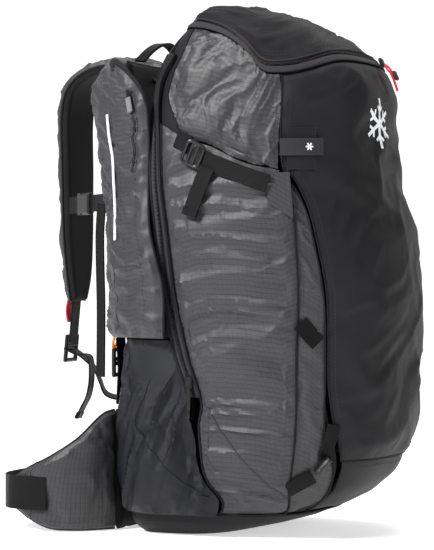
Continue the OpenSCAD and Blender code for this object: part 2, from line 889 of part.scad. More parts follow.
module airbag_cover() {
    shares = [1, 0.9, 0.72, 0.5, 0.25, 0];
    top_z = 593;
    ring = function(t, inset) [for (j = [ring_cols - 1:-1:0])
        let(phi = j * 360 / ring_cols, low = cover_edge_z(phi))
        skin(phi, mix(low, top_z, t), inset)];
    lid = function(t, inset) [for (p = ring(t, inset)) [p[0], p[1], p[2] - inset * t]];
    color(fabric_black)
        cup([for (t = shares) lid(t, 0)], [for (t = shares) lid(t, panel_t)]);
}

haul_y = 88;
haul_z = 536;

module haul_loop() {
    half = 54;
    rise = 24;
    color(webbing_black)
        ribbon([for (i = [0:12])
            let(s = 2 * share(i, 13) - 1)
            [s * half, haul_y - 6 * (1 - s * s), haul_z + rise * (1 - s * s)]],
            [0, 1, 0], 14, 3);
}

module front_zip_slider() {
    slider_z = 531;
    lean = -24;
    color(signal_red)
        translate(skin(287, slider_z, -3.5))
            rotate([lean, 0, 0]) {
                rotate([90, 0, 0]) rounded_block([9, 12, 4], 3);
                translate([0, -5, -34]) rounded_block([7, 3, 30], 1.4);
            }
}

module main_zip_slider() {
    at = skin(smooth(ZIP_SEAM, 172) - 2, 172, -5);
    color(buckle_black)
        translate(at) {
            rotate([90, 0, 90]) rounded_block([8, 13, 4], 2);
            translate([-1.2, 0, -30]) rounded_block([3, 6, 26], 1.4);
        }
}

// ---- assembly ---------------------------------------------------------------

base_panel();
lower_front_panel();
side_panel();  // side_panel_left
other_side() side_panel();  // side_panel_right
gusset();  // gusset_left
other_side() gusset();  // gusset_right
wing_pillow();  // wing_pillow_left
other_side() wing_pillow();  // wing_pillow_right
zip_band();
main_zip();  // main_zip_left
other_side() main_zip();  // main_zip_right
back_shell();
side_cover();  // side_cover_left
other_side() side_cover();  // side_cover_right
back_pad();
lumbar_pad();
frame_sheet();
frame_stays();
module_wall();
tool_sleeve();
airbag_tray();
folded_airbag();
air_duct();
fan_housing();
fan_motor();
inlet_grille();
battery_pack();
control_unit();
power_cable();
trigger_cable();
trigger_socket();
yoke();
shoulder_strap_left();
shoulder_strap_right();
strap_webbing_left();
strap_webbing_right();
ladder_locks();
compression_strap();  // compression_strap_left
other_side() compression_strap();  // compression_strap_right
lower_straps();
front_panel();
gear_tag();
airbag_cover();
haul_loop();
fan_rotor();
hip_wing();  // hip_wing_left
hip_webbing();  // hip_webbing_left
hip_buckle_female();
other_side() hip_wing();  // hip_wing_right
other_side() hip_webbing();  // hip_webbing_right
hip_buckle_male();
sternum_strap();
sternum_buckle();
trigger_handle();
power_button();
front_zip_slider();
compression_buckle();  // compression_buckle_left
other_side() compression_buckle();  // compression_buckle_right
main_zip_slider();  // main_zip_slider_left
other_side() main_zip_slider();  // main_zip_slider_right
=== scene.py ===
"""Looks of the avalanche airbag backpack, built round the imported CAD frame."""

import json
import math

import bpy
import numpy as np
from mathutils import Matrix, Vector


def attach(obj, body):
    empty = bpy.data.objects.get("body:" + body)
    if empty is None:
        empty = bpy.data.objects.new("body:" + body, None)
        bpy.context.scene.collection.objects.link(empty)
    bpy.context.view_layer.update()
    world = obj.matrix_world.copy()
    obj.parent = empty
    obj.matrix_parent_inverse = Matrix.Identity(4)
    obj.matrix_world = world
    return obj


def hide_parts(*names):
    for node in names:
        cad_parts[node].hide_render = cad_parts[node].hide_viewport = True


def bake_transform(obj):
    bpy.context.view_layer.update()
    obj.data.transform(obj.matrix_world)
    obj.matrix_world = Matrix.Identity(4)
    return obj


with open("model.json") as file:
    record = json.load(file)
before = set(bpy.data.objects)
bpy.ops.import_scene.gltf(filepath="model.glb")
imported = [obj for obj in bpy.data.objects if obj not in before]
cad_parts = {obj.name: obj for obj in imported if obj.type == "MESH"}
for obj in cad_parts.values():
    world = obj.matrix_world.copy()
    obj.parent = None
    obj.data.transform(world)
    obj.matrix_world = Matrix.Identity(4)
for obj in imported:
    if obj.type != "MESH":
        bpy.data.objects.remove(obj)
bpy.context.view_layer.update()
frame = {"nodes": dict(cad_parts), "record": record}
node_body = {n: b for b, names in frame["record"]["behaviour"]["bodies"].items() for n in names}

MM = 0.001

# ---- the bag's shape, in millimetres, as in the CAD source -------------------------------

# Cross sections of the bag: height, half width, back y and front y
STATIONS = [
    (0, 100, 72, -34), (6, 111, 79, -62), (15, 121, 84, -98), (50, 132, 90, -170),
    (90, 138, 92, -203), (140, 143, 90, -215), (200, 146, 85, -216), (270, 148, 77, -219),
    (330, 148, 71, -211), (390, 146, 65, -194), (440, 142, 59, -188), (490, 136, 52, -186),
    (525, 130, 44, -175), (552, 122, 28, -144), (573, 109, 10, -107), (586, 94, -2, -78),
    (594, 58, -18, -54)]
# Seams on the left side: height and angle round the bag
ZIP_SEAM = [(30, 200), (43, 197), (65, 186), (87, 181), (130, 178), (153, 179), (175, 176),
            (202, 172), (262, 165), (306, 162), (372, 159), (439, 155), (501, 149), (535, 156)]
SIDE_SEAM = [(26, 232), (50, 224), (79, 221), (155, 219), (263, 217), (317, 216), (370, 215),
             (405, 211), (521, 210)]
PANEL_SEAM = [(27, 246), (55, 241), (78, 239), (100, 236), (122, 233), (155, 230),
              (209, 228.5), (263, 226.5), (327, 223), (360, 221), (387, 217), (401, 212.5),
              (521, 211)]
# Edges of the airbag compartment: angle and height, then height share and angle
PILLOW_HEM = [(150, 464), (160, 453), (168, 441), (181, 432), (197, 414), (211, 405)]
PILLOW_REAR = [(0, 167), (0.25, 157), (0.5, 157), (0.75, 161), (1, 165)]
COVER_EDGE = [(90, 577), (150, 577), (165, 575), (174, 572), (186, 562), (196, 544),
              (203, 523), (212, 520), (220, 523), (236, 534), (248, 537), (270, 538)]
# Shoulder straps: leading edge, middle and trailing edge
LEFT_STRAP = [
    [(-34, 90, 498), (-68, 93, 498), (-104, 88, 494)],
    [(-36, 97, 528), (-72, 99, 528), (-108, 90, 522)],
    [(-46, 116, 535), (-82, 109, 534), (-116, 88, 528)],
    [(-60, 131, 522), (-95, 110, 520), (-122, 73, 514)],
    [(-69, 138, 498), (-100, 104, 496), (-124, 60, 490)],
    [(-74, 130, 450), (-104, 98, 447), (-127, 52, 442)],
    [(-76, 121, 401), (-108, 94, 401), (-132, 46, 401)],
    [(-80, 110, 340), (-123, 90, 340), (-149, 32, 340)],
    [(-84, 103, 280), (-136, 94, 280), (-159, 8, 280)],
    [(-86, 99, 220), (-140, 96, 220), (-161, 5, 220)]]
RIGHT_STRAP = [
    [(34, 90, 498), (68, 93, 498), (104, 88, 494)],
    [(34, 106, 531), (70, 107, 531), (105, 103, 527)],
    [(34, 142, 541), (70, 143, 541), (105, 140, 538)],
    [(34, 190, 541), (70, 191, 541), (105, 188, 538)],
    [(34, 225, 524), (70, 226, 524), (105, 223, 520)],
    [(35, 240, 490), (70, 240, 490), (104, 237, 488)],
    [(36, 240, 415), (70, 240, 415), (103, 237, 415)],
    [(38, 239, 340), (69, 239, 340), (99, 235, 340)],
    [(43, 237, 290), (67, 237, 290), (91, 233, 290)],
    [(50, 236, 258), (65, 236, 258), (80, 233, 258)]]
# Left wing of the hip belt: plan position, lower and upper edge
WING = [(-107, 110, 2, 130), (-128, 130, 2, 104), (-141, 158, 4, 84), (-139, 186, 14, 71),
        (-128, 206, 22, 61), (-116, 217, 24, 57)]
WING_ROOT = (-93, 101, 2, 136)
WING_TIP_LAP = [(-150, 158), (-148, 188), (-139, 213), (-110, 232), (-70, 238), (-30, 240)]
HIP_WEBBING_Z = 43
BASE_TOP = 24
COVER_GAP = 3
BAND_H = 7
# Gap left at seams, and heights where panels and their seam tables end
SEAM_GAP = 1.5
SIDE_ZIP_TOP = 450
SIDE_SEAM_TOP = 404
GUSSET_TOP = 388
SIDE_COVER_TOP = 217
PANEL_LOW, PANEL_TOP = 86.5, 500.5
BACK_TOP = 566
TRAY_Z = 436
CROWN_Z = 594.0
STERNUM_Z = 374


def smooth(table, x, k=1):
    """Smooth value of column k of a table at x."""
    t = np.array(table, float)
    x = np.asarray(x, float)
    i = np.clip(np.searchsorted(t[:, 0], x, "right") - 1, 0, len(t) - 2)
    before = np.maximum(np.arange(len(t)) - 1, 0)
    after = np.minimum(np.arange(len(t)) + 1, len(t) - 1)
    slope = (t[after, k] - t[before, k]) / (t[after, 0] - t[before, 0])
    h = t[i + 1, 0] - t[i, 0]
    s = np.clip((x - t[i, 0]) / h, 0, 1)
    return ((2 * s**3 - 3 * s**2 + 1) * t[i, k] + (s**3 - 2 * s**2 + s) * slope[i] * h
            + (3 * s**2 - 2 * s**3) * t[i + 1, k] + (s**3 - s**2) * slope[i + 1] * h)


def mix(a, b, t):
    return a + (b - a) * t


def skin(phi, z, inset=0.0):
    """Points of the bag's skin at an angle in degrees and a height, set in by a depth."""
    phi, z = np.broadcast_arrays(np.asarray(phi, float), np.asarray(z, float))
    c, s = np.cos(np.radians(phi)), np.sin(np.radians(phi))
    half = smooth(STATIONS, z, 1) - inset
    back, front = smooth(STATIONS, z, 2), smooth(STATIONS, z, 3)
    centre = mix(front, back, 0.6)
    depth = np.where(s > 0, back - centre, centre - front) - inset
    power = np.where(s > 0, 4.0, 2.8)
    reach = (np.abs(c / half) ** power + np.abs(s / depth) ** power) ** (-1 / power)
    return np.stack([reach * c, centre + reach * s, z], axis=-1)


def left_angle(phi):
    return np.where(phi > 270, 540 - phi, np.where(phi < 90, 180 - phi, phi))


def cover_edge(phi):
    return smooth(COVER_EDGE, left_angle(np.asarray(phi, float)))


# ---- grids of points -------------------------------------------------------------------


def shares(rows, cols):
    """Column share s and row share t of every point of a grid."""
    t, s = np.meshgrid(np.linspace(0, 1, rows), np.linspace(0, 1, cols), indexing="ij")
    return s, t


def patch(rows, cols, angle, height, inset=0.0):
    """Grid on the bag's skin: rows go up, columns go right seen from outside."""
    s, t = shares(rows, cols)
    phi = angle(s, t)
    return skin(phi, height(phi, t), inset)


def unit(v):
    return v / np.maximum(np.linalg.norm(v, axis=-1, keepdims=True), 1e-9)


def normals(g):
    return unit(np.cross(np.gradient(g, axis=1), np.gradient(g, axis=0)))


def lift(g, distance):
    """The grid moved along its normals by a distance, one number or one per point."""
    return g + np.asarray(distance)[..., None] * normals(g)


def lengths(g):
    """Distance along the columns and along the rows at every point, in millimetres."""
    u = np.zeros(g.shape[:2])
    v = np.zeros(g.shape[:2])
    u[:, 1:] = np.cumsum(np.linalg.norm(np.diff(g, axis=1), axis=-1), axis=1)
    v[1:] = np.cumsum(np.linalg.norm(np.diff(g, axis=0), axis=-1), axis=0)
    return u, v


def edge_distance(g):
    u, v = lengths(g)
    return np.minimum(np.minimum(u, u[:, -1:] - u), np.minimum(v, v[-1:] - v))


def inner_share(g, reach):
    """From 0 at a grid's seams to 1 at a distance from them."""
    return np.clip(edge_distance(g) / reach, 0, 1)


def noise(x, y, seed):
    """Smooth noise from -1 to 1, one bump per unit of x and y."""
    lattice = np.random.default_rng(seed).uniform(-1, 1, (128, 128))
    x, y = np.asarray(x, float) + 40, np.asarray(y, float) + 40
    i, j = np.floor(x).astype(int), np.floor(y).astype(int)
    fx, fy = x - i, y - j
    fx, fy = fx * fx * (3 - 2 * fx), fy * fy * (3 - 2 * fy)
    a, b = lattice[i % 128, j % 128], lattice[(i + 1) % 128, j % 128]
    c, d = lattice[i % 128, (j + 1) % 128], lattice[(i + 1) % 128, (j + 1) % 128]
    return mix(mix(a, b, fx), mix(c, d, fx), fy)


def at(g, s, t):
    """Points of a grid at column shares s and row shares t."""
    s, t = np.broadcast_arrays(np.asarray(s, float), np.asarray(t, float))
    x = np.clip(s, 0, 1) * (g.shape[1] - 1)
    y = np.clip(t, 0, 1) * (g.shape[0] - 1)
    j = np.minimum(x.astype(int), g.shape[1] - 2)
    i = np.minimum(y.astype(int), g.shape[0] - 2)
    fx, fy = (x - j)[..., None], (y - i)[..., None]
    low = mix(g[i, j], g[i, j + 1], fx)
    high = mix(g[i + 1, j], g[i + 1, j + 1], fx)
    return mix(low, high, fy)


def strap_grid(rows, count, cols, reach=1.0):
    """Dense grid through a strap's rows of three control points.

    A reach over 1 carries the trailing edge on past its last point; it may change along
    the strap.
    """
    r = np.array(rows, float)
    keys = np.arange(len(r))
    t = np.linspace(0, len(r) - 1, count)
    dense = np.stack([[smooth(np.column_stack([keys, r[:, p, c]]), t) for c in range(3)]
                      for p in range(3)])
    a, b, c = (dense[p].T[:, None, :] for p in range(3))
    s = np.linspace(0, 1, cols)[None, :, None] * np.reshape(reach, (-1, 1, 1))
    return (1 - s) ** 2 * a + 2 * s * (1 - s) * b + s**2 * c


CLOTH_STIFFNESS = 60
CLOTH_FRAMES = 24
KEPT_SLIP = 0.6  # share kept of the cloth's motion along its place


def drape(g, ease, pressure=1.0, cap=5.0, floor=1.8, bend=0.15):
    """Cloth simulation of a sheet sewn down along its edges.

    ease is the share by which the cloth is longer than the place it's sewn into. Folds
    rise at most cap above the sheet's place and sink at most floor below it.
    """
    rows, cols = g.shape[:2]
    mesh = bpy.data.meshes.new("sheet")
    mesh.from_pydata((g.reshape(-1, 3) * MM).tolist(), [], grid_faces(rows, cols))
    obj = add_object("sheet", mesh)
    pins = obj.vertex_groups.new(name="seams")
    index = np.arange(rows * cols).reshape(rows, cols)
    border = np.concatenate([index[0], index[-1], index[:, 0], index[:, -1]])
    pins.add([int(k) for k in set(border)], 1.0, "REPLACE")
    cloth = obj.modifiers.new("cloth", "CLOTH")
    cs = cloth.settings
    cs.quality = 6
    cs.mass = 0.15
    cs.tension_stiffness = CLOTH_STIFFNESS
    cs.compression_stiffness = CLOTH_STIFFNESS
    cs.shear_stiffness = CLOTH_STIFFNESS / 2
    cs.bending_stiffness = bend
    cs.air_damping = 3
    cs.effector_weights.gravity = 0
    cs.vertex_group_mass = "seams"
    cs.shrink_min = -ease
    cs.use_pressure = True
    cs.uniform_pressure_force = pressure
    cloth.point_cache.frame_start = 1
    cloth.point_cache.frame_end = CLOTH_FRAMES
    scene = bpy.context.scene
    for f in range(1, CLOTH_FRAMES + 1):
        scene.frame_set(f)
    result = np.zeros(rows * cols * 3)
    evaluated = obj.evaluated_get(bpy.context.evaluated_depsgraph_get())
    evaluated.data.vertices.foreach_get("co", result)
    bpy.data.objects.remove(obj)
    scene.frame_set(1)
    up = normals(g)
    moved = result.reshape(rows, cols, 3) / MM - g
    rise = np.sum(moved * up, axis=-1)
    along = moved - rise[..., None] * up
    rise = np.where(rise > 0, cap * np.tanh(rise / cap), floor * np.tanh(rise / floor))
    return g + KEPT_SLIP * along + rise[..., None] * up


def creases(g, along, across, seed, turn=0.0):
    """Height from 0 to 1 of long soft folds; along and across are their sizes in mm."""
    u, v = lengths(g)
    x, y = u + turn * v, v - turn * u
    bend = 0.8 * noise(x / 70, y / 70, seed + 50)
    first = 1 - np.minimum(1.7 * np.abs(noise(x / along, y / across + bend, seed)), 1)
    second = 1 - np.abs(noise(x / along * 1.9, y / across * 1.8 + bend, seed + 1))
    return first**1.2 * 0.8 + second**2 * 0.2


# ---- meshes: (points in mm, faces, weave coordinates in mm) --------------------------------


def add_object(name, data):
    obj = bpy.data.objects.new(name, data)
    bpy.context.scene.collection.objects.link(obj)
    return obj


def grid_faces(rows, cols):
    k = np.arange(rows * cols).reshape(rows, cols)
    a, b, c, d = k[:-1, :-1], k[:-1, 1:], k[1:, 1:], k[1:, :-1]
    return np.stack([a, b, c, d], axis=-1).reshape(-1, 4).tolist()


def one_sided(g):
    u, v = lengths(g)
    return g.reshape(-1, 3), grid_faces(*g.shape[:2]), np.stack([u, v], -1).reshape(-1, 2)


def flipped(mesh):
    points, faces, weave = mesh
    return points, [f[::-1] for f in faces], weave


def inward(g):
    """A grid whose faces look the other way."""
    return flipped(one_sided(g))


def strip(first, second):
    """Strip of faces between two lines of points."""
    return one_sided(np.stack([first, second]))


def mirrored(mesh):
    points, faces, weave = mesh
    return points * np.array([-1, 1, 1]), [f[::-1] for f in faces], weave


def join(*meshes):
    points, faces, weave = [], [], []
    start = 0
    for p, f, w in meshes:
        points.append(p)
        weave.append(w)
        faces += [[k + start for k in face] for face in f]
        start += len(p)
    return np.concatenate(points), faces, np.concatenate(weave)


def rim(outer, inner):
    """Closed strip round the edges of two grids of the same size."""
    def border(g):
        return np.concatenate([g[0, :-1], g[:-1, -1], g[-1, :0:-1], g[:0:-1, 0]])
    loop = np.stack([border(inner), border(outer)])
    loop = np.concatenate([loop, loop[:, :1]], axis=1)
    return one_sided(loop)


def panel(outer, inner):
    """Closed panel between an outer and an inner grid."""
    return join(one_sided(outer), inward(inner), rim(outer, inner))


def faced(outer, inner, face, back, edge):
    """Parts of a padded piece: its two faces and the strip round its edges."""
    return [(one_sided(outer), face), (inward(inner), back), (rim(outer, inner), edge)]


def rounded(g, thickness, edge=2.0, reach=9.0):
    """Outer and inner grid of a padded piece whose edges close to a thin seam."""
    d = inner_share(g, reach)
    half = edge / 2 + (thickness - edge) / 2 * np.sqrt(np.maximum(1 - (1 - d) ** 2, 0))
    return lift(g, half), lift(g, -half)


def steps(points):
    """Distance along a line of points."""
    gaps = np.linalg.norm(np.diff(points, axis=0), axis=-1)
    return np.concatenate([[0], np.cumsum(gaps)])


def resample(points, spacing):
    points = np.asarray(points, float)
    d = steps(points)
    count = max(int(d[-1] / spacing), 2) + 1
    x = np.linspace(0, d[-1], count)
    return np.stack([np.interp(x, d, points[:, k]) for k in range(3)], axis=-1)


def curve(points, spacing=3.0):
    """Smooth line through a few points."""
    p = np.asarray(points, float)
    keys = steps(p)
    x = np.linspace(0, keys[-1], max(int(keys[-1] / spacing), 4) + 1)
    return np.stack([smooth(np.column_stack([keys, p[:, k]]), x) for k in range(3)], axis=-1)


def sweep(points, side, section):
    """Closed section swept along a line; side gives the section's first direction."""
    points = np.asarray(points, float)
    tangent = unit(np.gradient(points, axis=0))
    side = np.broadcast_to(np.asarray(side, float), points.shape)
    across = unit(side - tangent * np.sum(side * tangent, axis=-1, keepdims=True))
    up = np.cross(tangent, across)
    section = np.asarray(section, float)
    rings = (points[:, None] + section[None, :, 0, None] * across[:, None]
             + section[None, :, 1, None] * up[:, None])
    rows, cols = rings.shape[:2]
    k = np.arange(rows * cols).reshape(rows, cols)
    nxt = np.roll(k, -1, axis=1)
    faces = np.stack([k[:-1], nxt[:-1], nxt[1:], k[1:]], axis=-1).reshape(-1, 4).tolist()
    faces += [k[0, ::-1].tolist(), k[-1].tolist()]
    d = steps(points)
    weave = np.stack(np.broadcast_arrays(section[None, :, 0], d[:, None]), axis=-1)
    return rings.reshape(-1, 3), faces, weave.reshape(-1, 2)


def tube(points, radius, side=(0.3, 0.2, 1), sides=8):
    a = np.arange(sides) * 2 * math.pi / sides
    return sweep(points, side, np.stack([np.cos(a), np.sin(a)], axis=-1) * radius)


def webbing(points, side, width, thickness=2.0):
    """Woven strap with a slightly thick selvedge along both edges."""
    w, h = width / 2, thickness / 2
    section = [(-w, -0.4 * h), (-w + 0.5, -h), (-w + 2, -0.85 * h), (0, -0.85 * h),
               (w - 2, -0.85 * h), (w - 0.5, -h), (w, -0.4 * h), (w, 0.4 * h),
               (w - 0.5, h), (w - 2, 0.85 * h), (0, 0.85 * h), (-w + 2, 0.85 * h),
               (-w + 0.5, h), (-w, 0.4 * h)]
    return sweep(points, side, section)


def block(size, radius=1.0):
    """Box with rounded edges, centred on the origin."""
    half = np.array(size, float) / 2
    r = min(radius, *(half * 0.98))
    points, faces = [], []
    levels = [(-1, -half[2]), (0, -half[2] + r), (0, half[2] - r), (1, half[2])]
    for inward, z in levels:
        trim = r * abs(inward)
        for quadrant in range(4):
            a = math.pi / 2 * quadrant
            sx, sy = math.copysign(1, math.cos(a + 0.7)), math.copysign(1, math.sin(a + 0.7))
            for k in range(4):
                b = a + math.pi / 6 * k
                points.append((sx * (half[0] - r) + (r - trim) * math.cos(b),
                               sy * (half[1] - r) + (r - trim) * math.sin(b), z))
    n = 16
    for i in range(3):
        for k in range(n):
            m = (k + 1) % n
            faces.append([i * n + k, i * n + m, (i + 1) * n + m, (i + 1) * n + k])
    faces.append(list(range(n - 1, -1, -1)))
    faces.append(list(range(3 * n, 4 * n)))
    points = np.array(points)
    return points, faces, points[:, :2].copy()


def placed(mesh, origin, x_axis, y_axis):
    """A mesh put at a point with its own x and y axes along two directions."""
    x = unit(np.asarray(x_axis, float))
    y = np.asarray(y_axis, float)
    y = unit(y - x * np.dot(x, y))
    basis = np.stack([x, y, np.cross(x, y)])
    points, faces, weave = mesh
    return np.asarray(origin, float) + points @ basis, faces, weave


def brick(size, radius, origin, x_axis=(1, 0, 0), y_axis=(0, 1, 0)):
    """Block with rounded edges put at a point."""
    return placed(block(size, radius), origin, x_axis, y_axis)


def walk(points, up, spacing):
    """Evenly spaced points of a line with their tangents and upward directions."""
    points = np.asarray(points, float)
    up = np.broadcast_to(np.asarray(up, float), points.shape)
    line = resample(points, spacing)
    x = np.linspace(0, steps(points)[-1], len(line))
    up = np.stack([np.interp(x, steps(points), up[:, k]) for k in range(3)], axis=-1)
    return line, unit(np.gradient(line, axis=0)), unit(up)


def stitches(points, up, pitch=4.0, length=2.6, radius=0.35):
    """Row of stitches lying on a surface along a line."""
    line, tangent, up = walk(points, up, pitch)
    half, r = length / 2, radius
    shape = np.array([(-half, 0, 0), (-half * 0.6, r, 0), (-half * 0.6, 0, r),
                      (-half * 0.6, -r, 0), (half * 0.6, r, 0), (half * 0.6, 0, r),
                      (half * 0.6, -r, 0), (half, 0, 0)])
    side = np.cross(up, tangent)
    points = (line[:, None] + shape[None, :, 0, None] * tangent[:, None]
              + shape[None, :, 1, None] * side[:, None]
              + (shape[None, :, 2, None] + 0.15) * up[:, None])
    one = [[0, 2, 1], [0, 3, 2], [0, 1, 3], [1, 2, 5, 4], [2, 3, 6, 5], [1, 4, 6, 3],
           [4, 5, 7], [5, 6, 7], [4, 7, 6]]
    faces = [[k * 8 + i for i in face] for k in range(len(line)) for face in one]
    return points.reshape(-1, 3), faces, points.reshape(-1, 3)[:, :2].copy()


def on_grid(g, s, t, count=60):
    """Smooth line on a grid through a few column and row shares, and its normals."""
    keys = np.linspace(0, 1, len(s))
    x = np.linspace(0, 1, count)
    ss = smooth(np.column_stack([keys, s]), x)
    tt = smooth(np.column_stack([keys, t]), x)
    return at(g, ss, tt), unit(at(normals(g), ss, tt))


def zip_coil(line, up, pitch=2.2, width=5.0):
    """Interlocked zip teeth along a line."""
    p, tangent, up = walk(line, up, pitch)
    side = unit(np.cross(up, tangent))
    up = np.cross(tangent, side)
    teeth = []
    for k in range(len(p)):
        tooth = block((width * 0.62, 1.3, 1.6), 0.4)
        shift = (1 if k % 2 else -1) * width * 0.16
        teeth.append(placed(tooth, p[k] + side[k] * shift + up[k] * 0.6, side[k], tangent[k]))
    return join(*teeth)


# ---- materials ----------------------------------------------------------------------------


def node(tree, kind, inputs=(), **settings):
    n = tree.nodes.new(kind)
    for name, value in settings.items():
        setattr(n, name, value)
    for name, value in dict(inputs).items():
        if isinstance(value, bpy.types.NodeSocket):
            tree.links.new(value, n.inputs[name])
        else:
            n.inputs[name].default_value = value
    return n


def maths(tree, operation, a, b=0.0):
    return node(tree, "ShaderNodeMath", {0: a, 1: b}, operation=operation).outputs[0]


def times(tree, a, b):
    return maths(tree, "MULTIPLY", a, b)


def plus(tree, a, b):
    return maths(tree, "ADD", a, b)


def wave(tree, x, pitch):
    """From -1 to 1 along x, one period per pitch."""
    return maths(tree, "SINE", times(tree, x, 2 * math.pi / pitch))


def ripstop(tree, u, v):
    """Fine cloth crossed by a square grid of thicker threads."""
    cell = 5.6
    lines = None
    for x, strength in ((u, 0.45), (v, 1.0)):
        saw = maths(tree, "FRACT", maths(tree, "DIVIDE", x, cell))
        line = times(tree, maths(tree, "LESS_THAN", saw, 0.12), strength)
        lines = line if lines is None else maths(tree, "MAXIMUM", lines, line)
    fine = times(tree, wave(tree, u, 0.9), wave(tree, v, 0.9))
    height = plus(tree, times(tree, lines, 0.8),
                   times(tree, fine, 0.2))
    return height, times(tree, lines, 0.6)


def twill(tree, u, v):
    """Diagonal ribs."""
    rib = wave(tree, plus(tree, times(tree, u, 0.75), v), 2.3)
    return rib, times(tree, plus(tree, rib, 1.0), 0.09)


def webbing_weave(tree, u, v):
    """Ribs along the strap crossed by the weft."""
    rib = maths(tree, "ABSOLUTE", wave(tree, u, 3.2))
    weft = times(tree, wave(tree, v, 1.7), 0.5)
    height = plus(tree, rib, weft)
    return height, times(tree, rib, 0.2)


def plain_cloth(tree, u, v):
    fine = times(tree, wave(tree, u, 1.0), wave(tree, v, 1.0))
    return fine, times(tree, fine, 0.05)


def spacer_mesh(tree, u, v):
    """Open knit of small holes, sunk in the relief and painted darker as shade in them."""
    hole = times(tree, wave(tree, u, 3.4), wave(tree, v, 3.4))
    shaded_hole = maths(tree, "GREATER_THAN", hole, 0.35)
    # Painted shade: the holes' colour is darkened by half, standing in for the shade in these recesses
    return maths(tree, "SUBTRACT", 1.0, shaded_hole), times(tree, shaded_hole, 0.5)


WEAR = 0.14  # share by which worn folds are lighter or darker
GRAIN_DEPTH = 0.04  # of moulded and metal surfaces, in millimetres


def new_material(name):
    mat = bpy.data.materials.new(name)
    mat.use_nodes = True
    return mat, mat.node_tree, mat.node_tree.nodes["Principled BSDF"]


def paint(tree, shader, colour, shade, relief, strength, depth):
    """Gives a shader its colour times a shade, and a relief of a depth in millimetres."""
    tint = node(tree, "ShaderNodeVectorMath", {0: colour, "Scale": shade}, operation="SCALE")
    tree.links.new(tint.outputs["Vector"], shader.inputs["Base Color"])
    bump = node(tree, "ShaderNodeBump",
                {"Height": relief, "Strength": strength, "Distance": depth * MM})
    tree.links.new(bump.outputs["Normal"], shader.inputs["Normal"])


def fabric(name, colour, weave, rough=0.5, shine=0.22, depth=0.15):
    """Woven cloth: colour, weave relief, soft colour variation and worn folds."""
    mat, tree, shader = new_material(name)
    place = node(tree, "ShaderNodeAttribute", attribute_name="weave")
    split = node(tree, "ShaderNodeSeparateXYZ", {0: place.outputs["Vector"]})
    height, dark = weave(tree, split.outputs[0], split.outputs[1])
    spot = node(tree, "ShaderNodeTexCoord").outputs["Object"]
    soft = node(tree, "ShaderNodeTexNoise", {"Vector": spot, "Scale": 14.0, "Detail": 3.0})
    grain = node(tree, "ShaderNodeTexNoise", {"Vector": spot, "Scale": 420.0, "Detail": 2.0})
    worn = times(tree, maths(tree, "SUBTRACT", soft.outputs["Fac"], 0.5), WEAR * 2)
    specks = times(tree, maths(tree, "SUBTRACT", grain.outputs["Fac"], 0.5), 0.25)
    # The weave's dark marks: its thicker threads and ribs, and in the spacer mesh the painted shade in
    # its holes
    shade = maths(tree, "SUBTRACT", plus(tree, plus(tree, 1.0, worn), specks),
                  dark)
    relief = plus(tree, height, times(tree, grain.outputs["Fac"], 0.8))
    paint(tree, shader, colour, shade, relief, 0.6, depth)
    shader.inputs["Roughness"].default_value = rough
    shader.inputs["Specular IOR Level"].default_value = shine
    return mat


def solid(name, colour, rough=0.45, metallic=0.0):
    """Moulded or metal surface with a fine grain."""
    mat, tree, shader = new_material(name)
    spot = node(tree, "ShaderNodeTexCoord").outputs["Object"]
    fine = node(tree, "ShaderNodeTexNoise", {"Vector": spot, "Scale": 900.0, "Detail": 2.0})
    soft = node(tree, "ShaderNodeTexNoise", {"Vector": spot, "Scale": 30.0, "Detail": 2.0})
    shade = plus(tree, 0.9, times(tree, soft.outputs["Fac"], 0.2))
    paint(tree, shader, colour, shade, fine.outputs["Fac"], 0.5, GRAIN_DEPTH)
    shader.inputs["Roughness"].default_value = rough
    shader.inputs["Specular IOR Level"].default_value = 0.25
    shader.inputs["Metallic"].default_value = metallic
    return mat


GREY_RIPSTOP = fabric("grey_ripstop", (0.029, 0.029, 0.031), ripstop, rough=0.46, shine=0.27)
BLACK_TWILL = fabric("black_twill", (0.0105, 0.0102, 0.0115), twill, rough=0.5, shine=0.12)
BLACK_CLOTH = fabric("black_cloth", (0.007, 0.007, 0.008), plain_cloth, rough=0.55, shine=0.1)
STRETCH = fabric("stretch_cloth", (0.0036, 0.0039, 0.006), plain_cloth, rough=0.42, shine=0.2)
MESH = fabric("spacer_mesh", (0.01, 0.01, 0.011), spacer_mesh, rough=0.85, depth=0.5)
WEBBING = fabric("webbing", (0.0045, 0.0045, 0.005), webbing_weave, rough=0.5, shine=0.08, depth=0.3)
GREY_TAPE = fabric("grey_tape", (0.018, 0.018, 0.02), webbing_weave, rough=0.7)
ZIP_TAPE = fabric("zip_tape", (0.012, 0.012, 0.014), plain_cloth, rough=0.45)
THREAD = fabric("thread", (0.025, 0.025, 0.028), plain_cloth, rough=0.7)
AIRBAG = fabric("airbag_nylon", (0.75, 0.16, 0.03), ripstop, rough=0.5)
REFLECTIVE = fabric("reflective_print", (0.72, 0.73, 0.74), plain_cloth, rough=0.4)
PLASTIC = solid("buckle_plastic", (0.005, 0.005, 0.0055), rough=0.4)
SATIN_WIRE = solid("buckle_wire", (0.03, 0.03, 0.032), rough=0.25, metallic=0.6)
CASE = solid("case_plastic", (0.03, 0.03, 0.033), rough=0.5)
METAL = solid("metal", (0.55, 0.55, 0.57), rough=0.3, metallic=1.0)
RED = solid("signal_red", (0.62, 0.012, 0.02), rough=0.4)
RED_CORD = fabric("red_cord", (0.62, 0.015, 0.03), plain_cloth, rough=0.6)
ORANGE = fabric("orange_cord", (0.8, 0.2, 0.02), plain_cloth, rough=0.6)
PULL_GREY = solid("pull_grey", (0.12, 0.12, 0.125), rough=0.5)
WHITE = solid("button_white", (0.75, 0.75, 0.75), rough=0.4)


